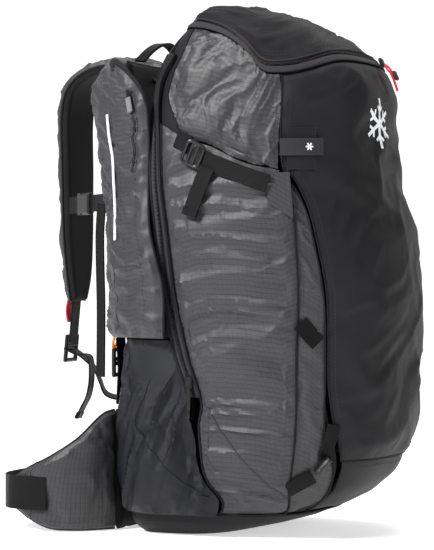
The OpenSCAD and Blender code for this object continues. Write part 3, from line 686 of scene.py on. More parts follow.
def piece(name, body, parts, replaces=()):
    """One object from (mesh, material) pairs, riding on a body if one is given."""
    points, faces, weave = join(*[mesh for mesh, _ in parts])
    data = bpy.data.meshes.new(name)
    data.from_pydata((points * MM).tolist(), [], faces)
    kinds = []
    for _, mat in parts:
        if mat not in kinds:
            kinds.append(mat)
            data.materials.append(mat)
    index = np.concatenate([np.full(len(mesh[1]), kinds.index(mat)) for mesh, mat in parts])
    data.polygons.foreach_set("material_index", index)
    data.polygons.foreach_set("use_smooth", np.ones(len(index), bool))
    data.set_sharp_from_angle(angle=math.radians(38))
    spot = np.zeros((len(weave), 3))
    spot[:, :2] = weave
    data.attributes.new("weave", "FLOAT_VECTOR", "POINT").data.foreach_set("vector", spot.ravel())
    data.update()
    obj = add_object(name, data)
    if body:
        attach(obj, body)
    if replaces:
        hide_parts(*replaces)
    return obj


def mirror_parts(parts):
    return [(mirrored(mesh), mat) for mesh, mat in parts]


def dress(cad_node, parts):
    """The looks of one CAD node, riding where it rides."""
    return piece(cad_node + "_looks", node_body[cad_node], parts, [cad_node])


def dress_pair(stem, parts):
    """The looks of a left node and, mirrored, of its right twin."""
    dress(stem + "_left", parts)
    dress(stem + "_right", mirror_parts(parts))


def finish_cad(cad_node, mat, bevel=0.0006):
    """A hard CAD part kept as it is, with softened edges and its own finish."""
    obj = frame["nodes"][cad_node]
    obj.data.materials.clear()
    obj.data.materials.append(mat)
    edge = obj.modifiers.new("edges", "BEVEL")
    edge.width = bevel
    edge.segments = 2
    edge.limit_method = "ANGLE"
    edge.angle_limit = math.radians(40)


# ---- bag shell ------------------------------------------------------------------------------


def seam_dip(g, depth=1.6, reach=7.0):
    """Sinks the edges of a panel to its seams."""
    return lift(g, -depth * np.exp(-edge_distance(g) / reach))


def piping(g, side, radius=1.3, inset=0.0):
    """Corded edge along one side of a grid: left, right, bottom or top."""
    row = {"left": np.s_[:, 0], "right": np.s_[:, -1], "bottom": 0, "top": -1}[side]
    edge, up = g[row], normals(g)[row]
    return tube(resample(edge + up * inset, 4.0), radius), BLACK_CLOTH


def seam_stitches(g, s, t):
    """Stitched line on a grid through a few column and row shares."""
    return stitches(*on_grid(g, s, t, 120)), THREAD


def side_low():
    return BASE_TOP + SEAM_GAP


def build_side_panel():
    low = side_low()

    def angle(s, t):
        zip_edge = smooth(ZIP_SEAM, mix(low, SIDE_ZIP_TOP, t)) + 1
        seam = smooth(SIDE_SEAM, mix(low, SIDE_SEAM_TOP, t)) + 0.5
        return mix(zip_edge, seam, s)

    def height(phi, t):
        return mix(low, smooth(PILLOW_HEM, phi) - SEAM_GAP, t)

    g = patch(140, 60, angle, height)
    u, _ = lengths(g)
    reach = inner_share(g, 12)
    near_zip = np.exp(-u / 40)
    folds = (5.0 * creases(g, 300, 19, 11, 0.08) + 2.5 * near_zip * creases(g, 160, 9, 13)
             + 3.0 * creases(g, 200, 55, 15, 0.22))
    outer = seam_dip(drape(lift(g, reach * (folds - 3.4)), 0.02, 1.0, 5, floor=2.5))
    # The strap buckle holds the cloth down
    held = 0.85 * np.exp(-((np.linalg.norm(g - skin(175.0, 424.0), axis=-1) / 26) ** 2))
    outer = mix(outer, g, held[..., None])
    parts = [(panel(outer, lift(g, -4)), GREY_RIPSTOP),
             piping(outer, "left", 1.5, 0.5),
             piping(outer, "bottom", 1.6, 0.8),
             seam_stitches(outer, [0.06, 0.06, 0.14, 0.3], [0.3, 0.18, 0.08, 0.03]),
             seam_stitches(outer, [0.03, 0.45, 0.97], [0.31, 0.18, 0.045]),
             seam_stitches(outer, [0.975, 0.975, 0.975], [0.02, 0.5, 0.98])]
    diagonal, up = on_grid(outer, [0.02, 0.45, 0.97], [0.315, 0.185, 0.05])
    parts.append((tube(diagonal + up * 0.2, 0.7), GREY_RIPSTOP))
    dress_pair("side_panel", parts)


def build_gusset():
    low, high = BASE_TOP, GUSSET_TOP

    def angle(s, t):
        z = mix(low, high, t)
        right = smooth(PANEL_SEAM, z) - 0.3 - 3.2 * np.exp(-((z - 105) / 42) ** 2)
        return mix(smooth(SIDE_SEAM, z) + 0.3, right, s)

    g = patch(90, 16, angle, lambda phi, t: mix(low + SEAM_GAP, high, t), 1.0)
    reach = inner_share(g, 6)
    creased = lift(g, 5.0 * reach * (creases(g, 30, 15, 21, 0.2) - 0.6) - 0.4)
    lining = patch(60, 6, lambda s, t: mix(smooth(SIDE_SEAM, mix(low, high, t)) + 1.5,
                                           smooth(PANEL_SEAM, mix(low, high, t)) - 0.4, s),
                   lambda phi, t: mix(low + 2, high - 2, t), 5.0)
    parts = [(panel(seam_dip(creased, 1.2, 4), lift(g, -2)), GREY_RIPSTOP),
             piping(creased, "left", 1.2, 0.4),
             piping(creased, "right", 1.0, 0.2),
             (panel(lining, lift(lining, -1)), BLACK_CLOTH)]
    loop = skin(np.linspace(218.4, 225.2, 9), np.linspace(238, 216, 9), -1.4)
    parts.append((webbing(loop, (0.2, 0, 1), 19, 1.8), WEBBING))
    dress_pair("gusset", parts)


def build_wing_pillow():
    def angle(s, t):
        return mix(smooth(PILLOW_REAR, t), 211, s)

    def height(phi, t):
        return mix(smooth(PILLOW_HEM, phi), cover_edge(phi) - COVER_GAP - BAND_H - SEAM_GAP, t)

    g = patch(84, 84, angle, height)
    s, t = shares(84, 84)
    u, v = lengths(g)
    reach = inner_share(g, 9)
    gathers = np.exp(-(((s - 0.9) / 0.22) ** 2)) * (0.3 + 0.7 * t)
    folds = (7.0 * gathers * creases(g.transpose(1, 0, 2), 90, 11, 31, 0.1).T
             + 2.4 * creases(g, 60, 34, 33, 0.8) + 1.5 * (1 - gathers) * noise(u / 30, v / 45, 35))
    outer = seam_dip(drape(lift(g, reach * (folds - 2.0)), 0.03, 2.0, 7), 2.0, 7)
    parts = [(panel(outer, lift(g, -9)), GREY_RIPSTOP),
             piping(outer, "left", 1.1, 0.3),
             seam_stitches(outer, [0.02, 0.5, 0.98], [0.03, 0.025, 0.03]),
             seam_stitches(outer, [0.97, 0.97, 0.97], [0.03, 0.5, 0.97])]
    dress_pair("wing_pillow", parts)


def build_front_panel():
    low, drop, cols = PANEL_LOW, 2.0, 100

    def angle(s, t):
        seam = smooth(PANEL_SEAM, mix(low, PANEL_TOP, t)) + 0.5
        return mix(seam, 540 - seam, s)

    def height(phi, t):
        top = (cover_edge(phi) - COVER_GAP - BAND_H - SEAM_GAP
               - drop * ((270 - left_angle(phi)) / 58) ** 4)
        return mix(low, top, t)

    g = patch(110, cols, angle, height)
    u, v = lengths(g)
    reach = inner_share(g, 22)
    swell = 2.4 * noise(u / 85, v / 70, 41) + 1.2
    crease = 4.0 * creases(g, 120, 60, 43, 0.15) + 2.6 * creases(g, 60, 28, 45, 0.5)
    outer = seam_dip(drape(lift(g, reach * (swell + crease - 3.2)), 0.008, 0.8, 5, bend=2), 1.5, 5)
    parts = [(panel(outer, lift(g, -4.5)), BLACK_TWILL),
             piping(outer, "left", 1.1, 0.2),
             piping(outer, "right", 1.1, 0.2),
             piping(outer, "bottom", 0.8, 0.1),
             (snow_crystal(outer), REFLECTIVE)]
    for side in (0.03, 0.97):
        parts.append(seam_stitches(outer, [side] * 3, [0.02, 0.5, 0.98]))
    dress("front_panel", parts)


def snow_crystal(g):
    """Plain six-armed snow crystal printed on the front panel."""
    centre = np.array([0.455, 0.845])
    width = np.array([1 / lengths(g)[0][-1, -1], 1 / lengths(g)[1][-1, 60]])
    bars = []

    def bar(a, b, wide):
        a, b = np.array(a, float), np.array(b, float)
        s = np.linspace(a[0], b[0], 8) * width[0] + centre[0]
        t = np.linspace(a[1], b[1], 8) * width[1] + centre[1]
        line, up = at(g, s, t), unit(at(normals(g), s, t))
        side = np.cross(unit(np.gradient(line, axis=0)), up)
        w, h = wide / 2, 0.25
        bars.append(sweep(line + up * 0.5, side, [(-w, -h), (w, -h), (w, h), (-w, h)]))

    for k in range(6):
        a = math.pi / 3 * k + math.pi / 6
        arm = np.array([math.cos(a), math.sin(a)])
        bar((0, 0), arm * 29, 4.2)
        for turn in (-0.9, 0.9):
            twig = np.array([math.cos(a + turn), math.sin(a + turn)])
            bar(arm * 14, arm * 14 + twig * 9, 3.2)
    return join(*bars)


def build_lower_front_panel():
    def angle(s, t):
        seam = smooth(PANEL_SEAM, mix(BASE_TOP, PANEL_LOW - SEAM_GAP, t)) + 1
        return mix(seam, 540 - seam, s)

    g = patch(24, 90, angle, lambda phi, t: mix(BASE_TOP + SEAM_GAP, PANEL_LOW - 1.2, t))
    u, v = lengths(g)
    outer = seam_dip(lift(g, 1.2 * noise(u / 40, v / 20, 51)), 1.2, 5)
    parts = [(panel(outer, lift(g, -4)), BLACK_TWILL),
             seam_stitches(outer, [0.02, 0.5, 0.98], [0.9, 0.9, 0.9])]
    dress("lower_front_panel", parts)


def ring(z, inset=0.0, count=160):
    return skin(np.linspace(0, 360, count + 1), np.full(count + 1, float(z)), inset)


def build_base():
    levels = [0.0, 1.0, 3.0, 6.0, 10.0, 15.0, 20.0, float(BASE_TOP)]
    outer = np.stack([ring(z) for z in levels])
    inner = np.stack([ring(z, 5) for z in levels])
    inner[..., 2] = np.maximum(inner[..., 2], 6)
    floor = [np.concatenate([mix(outer[0].mean(0), outer[0], s)[None] for s in
                             np.linspace(0.02, 1, 12)]),
             np.concatenate([mix(inner[0].mean(0), inner[0], s)[None] for s in
                             np.linspace(0.02, 1, 12)])]
    parts = [(one_sided(outer), BLACK_CLOTH), (inward(inner), BLACK_CLOTH),
             (one_sided(floor[0]), BLACK_CLOTH), (inward(floor[1]), BLACK_CLOTH),
             (strip(outer[-1], inner[-1]), BLACK_CLOTH),
             (tube(ring(BASE_TOP + 0.6, -0.3)[:-1], 1.3), BLACK_CLOTH)]
    dress("base_panel", parts)


def build_zip_band():
    phi = np.linspace(0, 360, 361)
    edge = cover_edge(phi)

    def line(drop, inset):
        return skin(phi, edge - drop, inset)

    outer = np.stack([line(COVER_GAP + BAND_H, 0.2), line(COVER_GAP + 0.8 * BAND_H, -0.9),
                      line(COVER_GAP + 0.45 * BAND_H, -0.9), line(COVER_GAP, 0.6)])
    inner = np.stack([line(COVER_GAP + f * BAND_H, 4.5) for f in (1, 0.8, 0.45, 0)])
    teeth = line(COVER_GAP * 0.5 + 0.3, 1.6)
    # Wall of the airbag compartment, hung from the band
    skirt = np.stack([skin(phi, np.full(len(phi), 450.0), 12), line(34, 8), line(22, 6.5),
                      line(COVER_GAP + 0.5 * BAND_H, 4.6)])
    parts = [(one_sided(outer), GREY_TAPE), (inward(inner), BLACK_CLOTH),
             (one_sided(skirt), BLACK_CLOTH), (inward(lift(skirt, -1.5)), BLACK_CLOTH),
             (strip(outer[-1], inner[-1]), ZIP_TAPE),
             (flipped(strip(outer[0], inner[0])), BLACK_CLOTH),
             (zip_coil(teeth, teeth - np.array([0, -60, 500]), width=3.4), PLASTIC)]
    dress("zip_band", parts)


def build_airbag_cover():
    phi = np.linspace(0, 360, 181)
    low = cover_edge(phi)
    t = np.concatenate([np.linspace(0, 0.9, 40), np.linspace(0.92, 1, 8)])[:, None]
    z = mix(low[None], CROWN_Z, t ** 0.8)
    g = skin(np.broadcast_to(phi, z.shape), z)
    u, v = lengths(g)
    fade = np.clip(v / 10, 0, 1)
    crumple = (3.2 * noise(u / 34, v / 26, 61) * np.exp(-v / 60) + 2.2 * noise(u / 60, v / 40, 62)
               + 2.2 * creases(g, 60, 30, 64, 0.6) - 1.5)
    side_folds = np.exp(-(((phi - 200) / 14) ** 2)) + np.exp(-(((phi - 340) / 14) ** 2))
    folds = 2.4 * noise(u / 11, v / 60, 63) * side_folds[None] * np.exp(-v / 50)
    wobble = fade * (crumple + folds)
    wobble[:, -1] = wobble[:, 0]
    outer = lift(g, wobble - 1.5 * np.exp(-v / 4))
    outer[:, -1] = outer[:, 0]
    inner = skin(np.broadcast_to(phi, z.shape), z, 4.5)
    inner[..., 2] = z - 4.5 * t ** 0.8
    cap = np.stack([mix(outer[-1].mean(0) + (0, 0, 1.6), outer[-1], s) for s in
                    (0.02, 0.25, 0.5, 0.75, 1)])
    under = np.stack([mix(inner[-1].mean(0), inner[-1], s) for s in (0.02, 0.5, 1)])
    parts = [(one_sided(outer), BLACK_CLOTH), (inward(inner), BLACK_CLOTH),
             (inward(cap), BLACK_CLOTH), (one_sided(under), BLACK_CLOTH),
             (flipped(strip(outer[0], inner[0])), BLACK_CLOTH),
             (tube(outer[1][:-1] + normals(outer)[1][:-1] * 0.3, 0.9), GREY_TAPE)]
    for row in (4, 6):
        parts.append((stitches(outer[row], normals(outer)[row], pitch=4.5), THREAD))
    dress("airbag_cover", parts)


def build_main_zip():
    low, high, tape = 156, 535, 5.4

    def seam(t):
        return smooth(ZIP_SEAM, mix(low, high, t))

    g = patch(110, 13, lambda s, t: seam(t) + 0.6 - tape * (1 - s),
              lambda phi, t: mix(low, high, t))
    s, _ = shares(110, 13)
    lips = 1.5 - 2.3 * np.exp(-((s - 0.5) / 0.13) ** 2)
    outer = lift(g, lips)
    middle = lift(g, 0.1)[:, 6]
    up = normals(g)[:, 6]
    rear = g[:, 0] + normals(g)[:, 0] * 0.8
    parts = [(panel(outer, lift(g, -2.5)), ZIP_TAPE), (zip_coil(middle, up), PLASTIC),
             (tube(resample(rear, 4), 2.2), BLACK_CLOTH),
             (tube(resample(g[:, -1] + normals(g)[:, -1] * 0.9, 4), 1.9), BLACK_CLOTH)]
    dress_pair("main_zip", parts)


def rear_edge(z):
    return smooth(ZIP_SEAM, np.maximum(z, 230)) - 5.2


def build_back_shell():
    low, top = BASE_TOP, BACK_TOP

    def angle(s, t):
        edge = rear_edge(mix(low, top, t))
        return mix(180 - edge, edge, s)

    g = patch(110, 100, angle, lambda phi, t: mix(low + SEAM_GAP, top, t))
    u, v = lengths(g)
    outer = seam_dip(lift(g, 0.7 * noise(u / 40, v / 40, 71)), 0.8, 4)
    parts = [(panel(outer, lift(g, -3)), BLACK_CLOTH), piping(outer, "top", 1.5, 0.5)]
    for side in (0.06, 0.94):
        parts.append(seam_stitches(outer, [side] * 3, [0.03, 0.5, 0.97]))
    lining = patch(30, 8, lambda s, t: mix(rear_edge(mix(TRAY_Z, BACK_TOP, t)) - 1, 172, s),
                   lambda phi, t: mix(TRAY_Z, BACK_TOP, t), 3.2)
    strips = [(panel(lining, lift(lining, -1)), BLACK_CLOTH)]
    parts += strips + mirror_parts(strips)
    dress("back_shell", parts)


def build_side_cover():
    low, high = side_low(), SIDE_COVER_TOP
    cols = 60

    def angle(s, t):
        z = mix(low, high, t)
        edge = smooth(ZIP_SEAM, z) - 1 - 4.5 * np.clip((z - 110) / 50, 0, 1)
        return mix(126, edge, s)

    s, t = shares(80, cols)
    base = patch(80, cols, angle, lambda phi, t: mix(low, high, t))
    puff = 5 + 8 * np.sin(np.pi * s) * np.sin(np.minimum(np.pi * t + 0.35, np.pi))
    g = lift(base, puff)
    reach = inner_share(g, 11)
    tall = g.transpose(1, 0, 2)
    drapes = 9.0 * creases(tall, 200, 28, 81, 0.22).T + 2.5 * creases(tall, 120, 12, 83, 0.3).T
    outer = seam_dip(drape(lift(g, reach * (drapes - 5.5)), 0.03, 0.5, 5, floor=3), 2.2, 7)
    seam, up = on_grid(outer, [0.98, 0.72, 0.6, 0.5, 0.6, 0.78, 0.97],
                       [0.99, 0.82, 0.68, 0.55, 0.42, 0.25, 0.08], 90)
    parts = [(panel(outer, lift(base, 2.5)), STRETCH), (tube(seam + up * 0.1, 0.9), STRETCH),
             piping(outer, "left", 1.6, 0.3),
             piping(outer, "top", 1.0, 0.3)]
    dress_pair("side_cover", parts)


# ---- harness ------------------------------------------------------------------------------


def flat_pad(rows, cols, half, low, high, y_of):
    s, t = shares(rows, cols)
    s = 2 * s - 1
    z = mix(low, high, t)
    return np.stack([-s * half, y_of(s, t, z), z], axis=-1)


def cushion(cad_node, g, thickness, face, channels=0.0):
    """Padded piece from its middle surface, its face simulated between the seams."""
    outer, inner = rounded(g, thickness)
    outer = drape(lift(outer, -np.broadcast_to(channels, g.shape[:2])), 0.012, 1.5, 3)
    mid = (outer + inner) / 2
    loop = np.concatenate([mid[0], mid[1:, -1], mid[-1, -2::-1], mid[-2::-1, 0]])
    parts = faced(outer, inner, face, BLACK_CLOTH, BLACK_CLOTH) + [
             (tube(resample(loop, 4), 1.6), BLACK_CLOTH)]
    dress(cad_node, parts)


def build_back_pads():
    g = flat_pad(90, 40, 58, 140, 452,
                 lambda s, t, z: smooth(STATIONS, z, 2) + 10 - 3 * np.abs(s) ** 4)
    _, v = lengths(g)
    channels = 3.5 * np.exp(-(((v % 52) - 26) / 3.5) ** 2)
    cushion("back_pad", g, 12, MESH, channels)
    g = flat_pad(40, 56, 92, 2, 136,
                 lambda s, t, z: 100 + 4 * np.sin(np.pi * t) - 2 * s**2)
    u, _ = lengths(g)
    channels = 3.5 * np.exp(-(((u % 46) - 23) / 3.5) ** 2)
    cushion("lumbar_pad", g, 12, MESH, channels)
    g = flat_pad(30, 60, 112, 458, 530, lambda s, t, z: 74 + 6 * t - 6 * np.abs(s) ** 4)
    cushion("yoke", g, 9, BLACK_CLOTH)


def pocket_trim(face, sign):
    """Seams, zip, pull and reflective bar on the left strap's pocket."""
    parts = []
    line, up = on_grid(face, [0.55, 0.62, 0.7, 0.74], [0.52, 0.68, 0.82, 0.93], 90)
    parts.append((stitches(line, up * sign, pitch=4.2), THREAD))
    line, up = on_grid(face, [0.5, 0.56, 0.52], [0.85, 0.97, 0.99], 30)
    parts.append((tube(line + up * sign * 0.1, 0.8), GREY_RIPSTOP))
    line, up = on_grid(face, [0.86, 0.87, 0.86], [0.42, 0.52, 0.66], 60)
    up = up * sign
    parts.append((zip_coil(line, up, width=4.0), PLASTIC))
    for edge in (-3.6, 3.6):
        side = np.cross(unit(np.gradient(line, axis=0)), up) * edge
        parts.append((tube(line + side, 1.1), GREY_RIPSTOP))
    down = unit(line[30] - line[8])
    across = np.cross(up[8], down)
    parts.append((brick((7, 11, 4), 1.4, line[8] + up[8] * 2, across, down), PLASTIC))
    parts.append((brick((8, 17, 2.4), 1.0, line[8] + up[8] * 4.4 + down * 9, across, down),
                  PULL_GREY))
    line, up = on_grid(face, [0.5, 0.52, 0.58], [0.5, 0.64, 0.8], 61)
    bar = curve(line[::12] + up[::12] * sign * 2.8)
    across = np.cross(unit(bar[-1] - bar[0]), up[30])
    parts.append((sweep(bar, across, [(-2.2, -0.6), (2.2, -0.6), (2.2, 0.6), (-2.2, 0.6)]),
                  REFLECTIVE))
    return parts


def strap_trim(outer, inner, outer_side, left):
    """Piping and stitch lines of a shoulder strap, and the left one's pocket."""
    face = outer if outer_side else inner
    sign = 1 if outer_side else -1
    mid = (outer + inner) / 2
    parts = [(tube(resample(mid[:, 0], 4), 1.6), BLACK_CLOTH),
             (tube(resample(mid[:, -1], 4), 1.6), BLACK_CLOTH)]
    for s in (0.12, 0.88):
        line, up = on_grid(face, [s] * 3, [0.08, 0.5, 0.97], 120)
        parts.append((stitches(line, up * sign, pitch=4.2), THREAD))
    return parts + (pocket_trim(face, sign) if left else [])


def wrinkled_strap(rows, thickness, seed, outer_side, reach):
    """Strap cushion with its shell side wrinkled and simulated; outer_side tells which."""
    g = strap_grid(rows, 130, 34, reach)
    outer, inner = rounded(g, thickness, 3.0, 8.0)
    inside = inner_share(g, 7)
    ripple = inside * (4.0 * creases(g, 40, 16, seed, 0.25)
                       + 2.0 * creases(g, 24, 8, seed + 3) - 2.6)
    if outer_side:
        return drape(lift(outer, ripple), 0.02, 1.0, 4), inner
    shell = drape(lift(inner, -ripple)[:, ::-1], 0.02, 1.0, 4)[:, ::-1]
    # The sewn-down top stays flat, clear of the haul loop
    _, t = shares(130, 34)
    free = np.clip((t - 0.2) / 0.15, 0, 1)
    return outer, mix(inner, shell, free[..., None])


def build_shoulder_straps():
    reach = np.interp(np.linspace(0, 1, 130), [0.35, 0.48, 0.62, 0.85], [1.13, 1.2, 1.14, 1.0])
    outer, inner = wrinkled_strap(LEFT_STRAP, 12, 91, False, reach)
    parts = faced(outer, inner, MESH, GREY_RIPSTOP, GREY_RIPSTOP)
    parts += strap_trim(outer, inner, False, True)
    dress("shoulder_strap_left", parts)
    outer, inner = wrinkled_strap(RIGHT_STRAP, 16, 95, True, 1.0)
    parts = faced(outer, inner, GREY_RIPSTOP, MESH, GREY_RIPSTOP)
    parts += strap_trim(outer, inner, True, False)
    dress("shoulder_strap_right", parts)


def ladder_lock(origin, x_axis, y_axis):
    """Three-bar lock: a moulded frame with rounded bars."""
    parts = [brick((29, 4.6, 5), 1.4, (0, y, 0))
             for y in (-14.5, -1.5, 3.5, 14.5)]
    parts += [brick((4.4, 34, 5), 1.4, (x, 0, 0))
              for x in (-12.5, 12.5)]
    return placed(join(*parts), origin, x_axis, y_axis)


def build_strap_webbing():
    left = webbing(curve([(-80, 100, 221), (-74, 102, 205), (-72, 102, 180), (-72, 104, 142)]),
                   (1, 0, 0), 20)
    dress("strap_webbing_left", [(left, WEBBING)])
    from_strap = webbing(curve([(66, 236, 262), (66, 240, 222), (66, 241, 206)]), (1, 0, 0), 20)
    load = webbing(curve([(68, 241, 198), (70, 227, 188), (74, 216, 176), (80, 211, 160),
                          (88, 207, 144), (96, 190, 138), (104, 158, 137), (108, 125, 140),
                          (107, 105, 143), (106, 94, 146)]), (1, 0.4, 0.2), 20)
    tail = webbing(curve([(60, 243, 198), (55, 230, 194), (52, 211, 190), (52, 208, 167),
                          (52, 212, 143), (52, 219, 130), (52, 226, 117)]), (1, 0.2, 0), 20)
    hem = brick((20.6, 9, 4.4), 1.0, (52, 225, 119), (1, 0.2, 0), (0, 0.45, -0.9))
    tag = webbing(curve([(64, 243, 262), (64, 246, 246), (64, 244, 232)]), (1, 0, 0), 15)
    band = brick((21, 4, 5), 1, (66, 240, 262), (1, 0, 0), (0, 0, 1))
    dress("strap_webbing_right", [(from_strap, WEBBING), (load, WEBBING), (tail, WEBBING),
                                  (hem, WEBBING), (tag, RED_CORD), (band, REFLECTIVE)])
    dress("ladder_locks", [(join(ladder_lock((66, 244, 200), (1, 0, 0), (0, -0.1, 1)),
                                 ladder_lock((-72, 106, 190), (1, 0, 0), (0, 0, 1))),
                            PLASTIC)])


def build_sternum():
    left, right = np.array([-70.0, 121.0]), np.array([26.0, 222.0])
    along = unit(right - left)
    z = STERNUM_Z
    buckle = left + 78 * along

    def point(d, dz=0.0):
        p = left + d * along
        return (p[0], p[1], z + dz)

    band = webbing(curve([point(0), point(30), point(64)]), (0, 0, 1), 20)
    far = webbing(curve([point(96), point(120), point(146)]), (0, 0, 1), 20)
    tail = webbing(curve([(-69, 130, z - 2), (-66, 134, z - 40), (-65, 133, 250),
                          (-66, 133, 172)]), (0.5, 1, 0), 16)
    direction = (along[0], along[1], 0)
    body = brick((28, 26, 9), 2.2, (buckle[0], buckle[1], z), direction, (0, 0, 1))
    dress("sternum_strap", [(band, WEBBING), (far, WEBBING), (tail, WEBBING), (body, PLASTIC)])
    finish_cad("sternum_buckle", PLASTIC)


def dress_hip_wings(parts):
    """Both hip wings, the right one mirrored, put in place of the CAD wings and riding on no body."""
    for side, sign in (("left", -1), ("right", 1)):
        shown = parts if sign < 0 else mirror_parts(parts)
        wing = piece("hip_wing_" + side + "_looks", None, shown, ["hip_wing_" + side])
        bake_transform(wing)


def build_hip_belt():
    w = np.array([WING_ROOT] + WING, float)
    keys = np.arange(len(w))
    x = np.linspace(0, len(w) - 1, 60)
    cols = [smooth(np.column_stack([keys, w[:, k]]), x) for k in range(4)]
    s = np.linspace(0, 1, 40)[None, :]
    z = cols[2][:, None] + (cols[3] - cols[2])[:, None] * s
    g = np.stack([np.broadcast_to(cols[0][:, None], z.shape),
                  np.broadcast_to(cols[1][:, None], z.shape), z], axis=-1)
    outer, inner = rounded(g, 14, 3.0, 10.0)
    reach = inner_share(g, 8)
    ripple = reach * (2.2 * creases(g, 30, 20, 101, 0.3) - 1)
    outer = drape(lift(outer, ripple), 0.016, 1.5, 3.5)
    mid = (outer + inner) / 2
    parts = faced(outer, inner, GREY_RIPSTOP, MESH, GREY_RIPSTOP) + [
             (tube(resample(mid[:, -1], 4), 1.8), BLACK_CLOTH),
             (tube(resample(mid[:, 0], 4), 1.6), BLACK_CLOTH)]
    for a, b in (((0.1, 0.55, 0.97), (0.9, 0.9, 0.88)), ((0.1, 0.55, 0.97), (0.1, 0.1, 0.1))):
        line, up = on_grid(outer.transpose(1, 0, 2), a, b, 120)
        parts.append((stitches(line, -up, pitch=4.2), THREAD))
    seam, up = on_grid(outer.transpose(1, 0, 2), [0.62, 0.62, 0.62], [0.03, 0.5, 0.97], 50)
    parts.append((tube(seam - up * 0.2, 0.9), GREY_RIPSTOP))
    dress_hip_wings(parts)
    lap = curve([(p[0], p[1], HIP_WEBBING_Z) for p in WING_TIP_LAP])
    dress_pair("hip_webbing", [(webbing(lap, (0, 0, 1), 38, 2), WEBBING)])
    y = 240
    female = join(brick((40, 48, 12), 4, (-8, y, HIP_WEBBING_Z), (1, 0, 0), (0, 0, 1)),
                  brick((26, 30, 3), 1.4, (-10, y + 6, HIP_WEBBING_Z), (1, 0, 0),
                         (0, 0, 1)))
    dress("hip_buckle_female", [(female, PLASTIC)])
    male = brick((16, 48, 10), 3, (20.5, y, HIP_WEBBING_Z), (1, 0, 0), (0, 0, 1))
    dress("hip_buckle_male", [(male, PLASTIC)])


# ---- straps, loops and small hardware --------------------------------------------------------


def on_skin(start, end, lift_off, count=14):
    """Line on the bag's skin between two places given by angle and height."""
    s = np.linspace(0, 1, count)
    return skin(mix(start[0], end[0], s), mix(start[1], end[1], s), -lift_off)


def wire_frame(width, height, radius):
    """Bent wire buckle with two inner bars, in its own x and y."""
    w, h, r = width / 2 - radius, height / 2 - radius, 3.5
    corner = [(w - r, h), (w - 0.3 * r, h - 0.3 * r), (w, h - r)]
    outline = corner + [(x, -y) for x, y in corner[::-1]]
    outline += [(-x, -y) for x, y in corner] + [(-x, y) for x, y in corner[::-1]]
    loop = curve([(x, y, 0) for x, y in outline + outline[:2]], 1.5)
    bars = [tube(curve([(x, -h, 0), (x, 0, 0.8), (x, h, 0)], 3), radius * 0.85)
            for x in (-w * 0.33, w * 0.33)]
    return join(tube(loop, radius), *bars)


def build_compression():
    stub = webbing(on_skin((165.5, 440), (172, 432), 3), (0, 0, 1), 20, 2)
    main = webbing(on_skin((179, 416), (207, 388), 5.5), (0, 0.3, 1), 20, 2)
    tail = webbing(on_skin((182, 406), (174, 356), 8), (0, 1, 0), 18, 1.8)
    tail_hem = webbing(on_skin((174.6, 361), (173.6, 354), 8), (0, 1, 0), 18.5, 3.6)
    anchor = skin(np.array([[205, 215.3], [207, 215.6]]), np.array([[400, 401], [366, 350]]),
                  -3.2)
    anchor = anchor[::-1]
    parts = [(stub, WEBBING), (main, WEBBING), (tail, WEBBING), (tail_hem, WEBBING),
             (panel(anchor, lift(anchor, -1.5)), GREY_RIPSTOP)]
    dress_pair("compression_strap", parts)
    buckle = wire_frame(25, 28, 1.9)
    p = skin(175.0, 422.0, -7.5)
    along = skin(176.0, 420.8, -7.5) - p
    dress_pair("compression_buckle",
               [(placed(buckle, p, along, (0, -0.35, 1)), SATIN_WIRE)])


def build_lower_straps():
    lower = webbing(on_skin((222, 56), (229, 72), 4), (0, 0.3, 1), 16, 2)
    upper = webbing(on_skin((231.5, 92), (232.5, 128), 1.5), (1, -1, 0), 15, 2)
    p = skin(230.6, 84.0, -6.0)
    along = skin(231.4, 88.0, -6.0) - p
    clip = join(brick((24, 18, 5), 1.8, (0, 0, 0)),
                brick((10, 12, 6.5), 1.4, (3, 0, 0.5)),
                brick((6, 21, 4), 1.2, (-6, 0, 0.3)),
                brick((3, 19, 7), 1.2, (10.5, 0, 0)))
    clip = placed(clip, p, along, (-0.5, -0.7, 0.3))
    parts = []
    for m, mat in ((lower, WEBBING), (upper, WEBBING), (clip, PLASTIC)):
        parts += [(m, mat), (mirrored(m), mat)]
    dress("lower_straps", parts)


def build_gear_tag():
    back = skin(*np.meshgrid(np.linspace(214.6, 225.4, 14), np.linspace(404, 449, 12)), -1.6)
    patch_mesh = panel(back, lift(back, -1))
    tag = webbing(on_skin((211.5, 428), (228.3, 428.5), 3.6, 20), (0, 0, 1), 19, 2.4)
    parts = [(patch_mesh, BLACK_TWILL), (tag, GREY_TAPE)]
    spot = skin(222.6, 428.4, -5.2)
    side = skin(223.6, 428.4, -5.2) - spot
    for k in range(3):
        a = math.pi / 3 * k
        parts.append((brick((8.5, 1.6, 0.5), 0.2, spot,
                             unit(side) * math.cos(a) + np.array([0, 0, math.sin(a)]),
                             np.array([0, 0, math.cos(a)]) - unit(side) * math.sin(a)),
                      REFLECTIVE))
    edges = [(back[:, 0], normals(back)[:, 0]), (back[:, -1], normals(back)[:, -1]),
             (back[0], normals(back)[0]), (back[-1], normals(back)[-1])]
    for line, up in edges:
        parts.append((stitches(line + up * 0.3, up, pitch=3.2, length=2.0), THREAD))
    dress("gear_tag", parts)


def build_haul_loop():
    s = np.linspace(-1, 1, 40)
    path = np.stack([54 * s, 88 - 6 * (1 - s**2), 536 + 24 * (1 - s**2)], axis=-1)
    dress("haul_loop", [(webbing(path, (0, 1, 0), 14, 3), WEBBING)])


